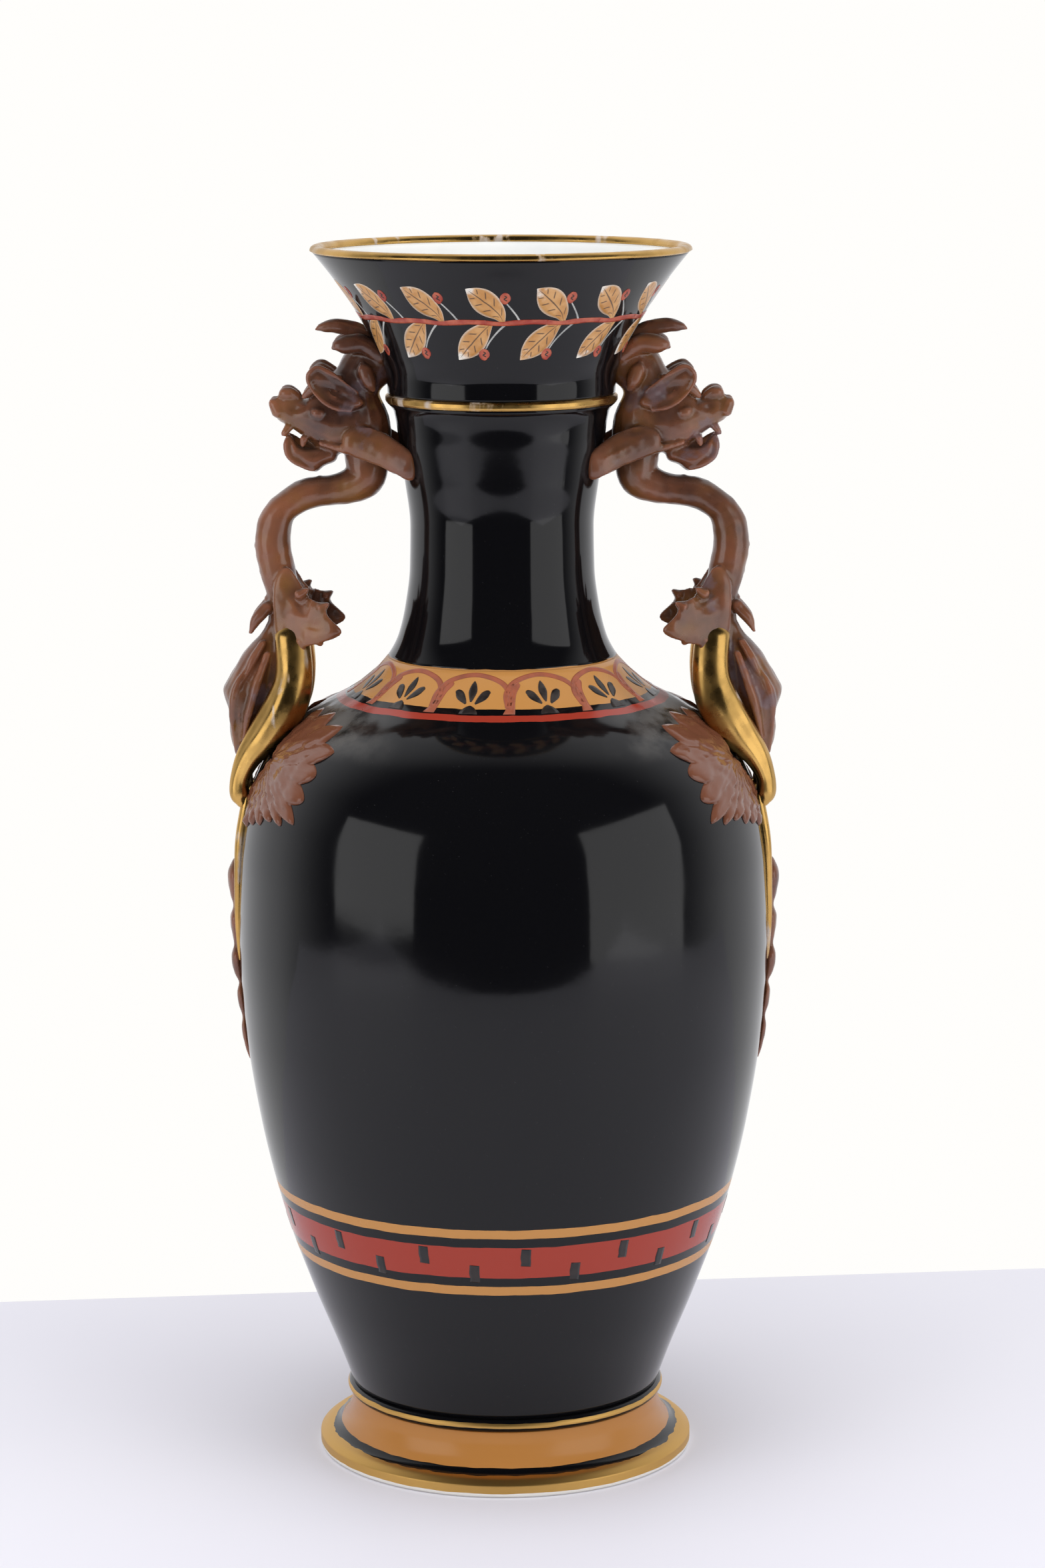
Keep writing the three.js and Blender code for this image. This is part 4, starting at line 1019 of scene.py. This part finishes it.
class VASE_OT_gilt_limbs(bpy.types.Operator):
    """Models the gilt legs and the bands under them"""

    bl_idname = "vase.gilt_limbs"
    bl_label = "Gilt limbs"

    def execute(self, context):
        gilding = bpy.data.materials["worn_gilding"]

        def sinews(along, angles):
            fade = math.sin(math.pi * min(max(along, 0), 1))
            return 0.07 * fade * np.cos(3 * angles + 5 * along) + 0.03 * fade * np.cos(7 * angles - 4 * along)

        for side in ("right", "left"):
            for sign in (-1, 1):
                place = "front" if (sign < 0) == (side == "right") else "back"
                band = []
                for up, across, lift, thick, wide in BAND:
                    out, height, _ = on_body(up, across, lift)
                    band.append([out, height, sign * across, thick, wide])
                for name, part in (
                    ("leg", limb(moved(mirrored(LEG, sign), SHOULDER), sides=40, per=10, ridges=sinews)),
                    ("band", limb(band, sides=16, per=8)),
                ):
                    verts, faces = part
                    made = mesh_object(f"{side}_{name}_{place}_gilt", verts * MM, faces, [gilding])
                    face_outwards(made.data)
                    made.data.transform(handle_turn(side))
                    settle(made, "gilding", f"{side}_{name}_{place}")
        return {"FINISHED"}


def border(sheet):
    """Indices round the edge of a sheet of rows of points."""
    return sheet[0] + [row[-1] for row in sheet[1:]] + sheet[-1][-2::-1] + [row[0] for row in sheet[-2:0:-1]]


# Turn in degrees from the handle's middle plane and height in mm from its lower seat
LEAF_ROOT = (14, 3)
LEAF_TIPS = [(9, 21), (22, 21.5), (35, 18.7), (41.2, 10.8), (39.6, 2), (38.8, -7), (37.6, -16.2), (32.5, -18),
             (27.5, -17.8), (22.5, -20.5), (17.5, -22), (12, -24.5), (8, -14)]


class VASE_OT_body_leaves(bpy.types.Operator):
    """Models the flat lobed leaves beside the legs"""

    bl_idname = "vase.body_leaves"
    bl_label = "Body leaves"

    def execute(self, context):
        enamel = bpy.data.materials["brown_enamel"]
        tips = np.array(LEAF_TIPS, float)
        root = np.array(LEAF_ROOT, float)
        per, rows = 10, 22
        rim, crest = [], []
        for tip, after in zip(tips[:-1], tips[1:]):
            for step in range(per):
                t = step / per
                notch = 1 - 0.15 * (1 - abs(2 * t - 1)) ** 1.7
                rim.append(root + (tip + (after - tip) * t - root) * notch)
                crest.append(abs(math.cos(math.pi * t)))
        rim.append(tips[-1])
        crest.append(1.0)
        rim, crest = np.array(rim), np.array(crest)
        for side in ("right", "left"):
            for sign in (-1, 1):
                place = "front" if (sign < 0) == (side == "right") else "back"
                verts, layers = [], []
                for layer in (1, 0):
                    for share in np.linspace(0.02, 1, rows):
                        row = []
                        for point, ridge in zip(rim, crest):
                            turn, up = root + (point - root) * share
                            height = (SHOULDER[1] + up) * MM
                            edge = min(1.0, (1 - share) * 9) ** 0.5
                            grain = noise.noise(Vector((turn * 0.25, up * 0.3, sign + 3)))
                            fine = noise.noise(Vector((turn * 0.6, up * 0.75, sign + 9)))
                            high = 0.35 + edge * (0.95 + 0.5 * ridge * share + 0.7 * grain + 0.5 * fine)
                            radius = float(body_radius(height)) + (high if layer else -0.8) * MM
                            angle = math.radians(sign * turn)
                            row.append(len(verts))
                            verts.append((radius * math.cos(angle), radius * math.sin(angle), height))
                        layers.append(row)
                faces = []
                for sheet in (layers[:rows], layers[rows:]):
                    for low, high in zip(sheet[:-1], sheet[1:]):
                        faces += [(low[i], low[i + 1], high[i + 1], high[i]) for i in range(len(rim) - 1)]
                top, low = border(layers[:rows]), border(layers[rows:])
                for i, beside in enumerate([*range(1, len(top)), 0]):
                    faces.append((top[i], top[beside], low[beside], low[i]))
                made = mesh_object(f"{side}_body_leaf_{place}_relief", verts, faces, [enamel])
                face_outwards(made.data)
                made.data.transform(handle_turn(side))
                settle(made, "brown_enamel", f"{side}_body_leaf_{place}")
        return {"FINISHED"}


class VASE_OT_studio(bpy.types.Operator):
    """Sets up the floor, the soft lamps, the pale surroundings and the camera"""

    bl_idname = "vase.studio"
    bl_label = "Studio"

    def execute(self, context):
        scene = context.scene
        scene.view_settings.view_transform = "Standard"
        material, tree, shader = new_material("pale_floor")
        coords = node(tree, "ShaderNodeTexCoord").outputs["Object"]
        paper = ranged(tree, speckle(tree, 3.0, 5.0, coords), 0.3, 0.7)
        tone = blend(tree, paper, (0.86, 0.85, 0.9), (0.84, 0.83, 0.89))
        tree.links.new(tone, shader.inputs["Base Color"])
        shader.inputs["Roughness"].default_value = 0.6
        table = [(-1.2, -0.95, 0), (1.2, -0.95, 0), (1.2, 0.334, 0), (-1.2, 0.09, 0)]
        floor = mesh_object("floor", table, [(0, 1, 2, 3)], [material], smooth=False)

        world = bpy.data.worlds.new("studio_air")
        scene.world = world
        world.use_nodes = True
        air = world.node_tree
        air.nodes.clear()
        path = node(air, "ShaderNodeLightPath").outputs
        coords = node(air, "ShaderNodeTexCoord").outputs["Generated"]
        direction = node(air, "ShaderNodeSeparateXYZ", {0: coords})
        behind = ranged(air, direction.outputs["Y"], -0.25, 0.45)
        glossy = blend(air, behind, (0.012, 0.012, 0.015), (0.9, 0.9, 0.92))
        seen = blend(air, path["Is Glossy Ray"], (0.72, 0.72, 0.75), glossy)
        colour = blend(air, path["Is Camera Ray"], seen, (1.0, 0.99, 0.97))
        background = node(air, "ShaderNodeBackground", {"Color": colour, "Strength": 1.0})
        out = air.nodes.new("ShaderNodeOutputWorld")
        air.links.new(background.outputs[0], out.inputs[0])

        aim = Vector((0, 0, 0.26))
        for name, place, width, height, power in (
            ("left_softbox", (-0.95, -0.66, 0.4), 0.8, 0.72, 2.9),
            ("right_softbox", (1.0, -0.62, 0.4), 1.0, 0.84, 3.9),
            ("top_softbox", (0.0, -0.35, 1.6), 1.0, 0.8, 9.0),
        ):
            lamp = bpy.data.lights.new(name, "AREA")
            lamp.shape = "RECTANGLE"
            lamp.size, lamp.size_y = width, height
            lamp.energy = power
            light = bpy.data.objects.new(name, lamp)
            light.location = place
            light.visible_glossy = name != "top_softbox"
            light.rotation_euler = (aim - Vector(place)).to_track_quat("-Z", "Y").to_euler()
            scene.collection.objects.link(light)

        camera = bpy.data.cameras.new("photo_camera")
        camera.sensor_fit = "VERTICAL"
        camera.sensor_height = 36.0
        camera.lens = 100.0
        camera.dof.use_dof = False
        view = bpy.data.objects.new("photo_camera", camera)
        pitch = Matrix.Rotation(math.radians(90 - 10.1), 4, "X")
        roll = Matrix.Rotation(math.radians(-0.17), 4, "Z")
        view.matrix_world = Matrix.Translation((0.0077, -1.69, 0.5695)) @ pitch @ roll
        scene.collection.objects.link(view)
        scene.camera = view
        return {"FINISHED"}


class VASE_PT_panel(bpy.types.Panel):
    """Lists the steps and the values of the finish"""

    bl_label = "Vase"
    bl_idname = "VASE_PT_panel"
    bl_space_type = "VIEW_3D"
    bl_region_type = "UI"
    bl_category = "Vase"

    def draw(self, context):
        finish = context.scene.vase_finish
        for name in VaseFinish.__annotations__:
            self.layout.prop(finish, name)
        for operator in OPERATORS:
            self.layout.operator(operator.bl_idname)


OPERATORS = [VASE_OT_studio, VASE_OT_vessel, VASE_OT_laurel, VASE_OT_palmettes, VASE_OT_key_pattern,
             VASE_OT_dragons, VASE_OT_gilt_limbs, VASE_OT_body_leaves]
CLASSES = [VaseFinish, *OPERATORS, VASE_PT_panel]


def register():
    for made in CLASSES:
        bpy.utils.register_class(made)
    bpy.types.Scene.vase_finish = PointerProperty(type=VaseFinish)


def unregister():
    del bpy.types.Scene.vase_finish
    for made in reversed(CLASSES):
        bpy.utils.unregister_class(made)


def main():
    register()
    bpy.ops.vase.studio()
    bpy.ops.vase.vessel()
    bpy.ops.vase.laurel()
    bpy.ops.vase.palmettes()
    bpy.ops.vase.key_pattern()
    bpy.ops.vase.dragons()
    bpy.ops.vase.gilt_limbs()
    bpy.ops.vase.body_leaves()


if __name__ == "__main__":
    main()
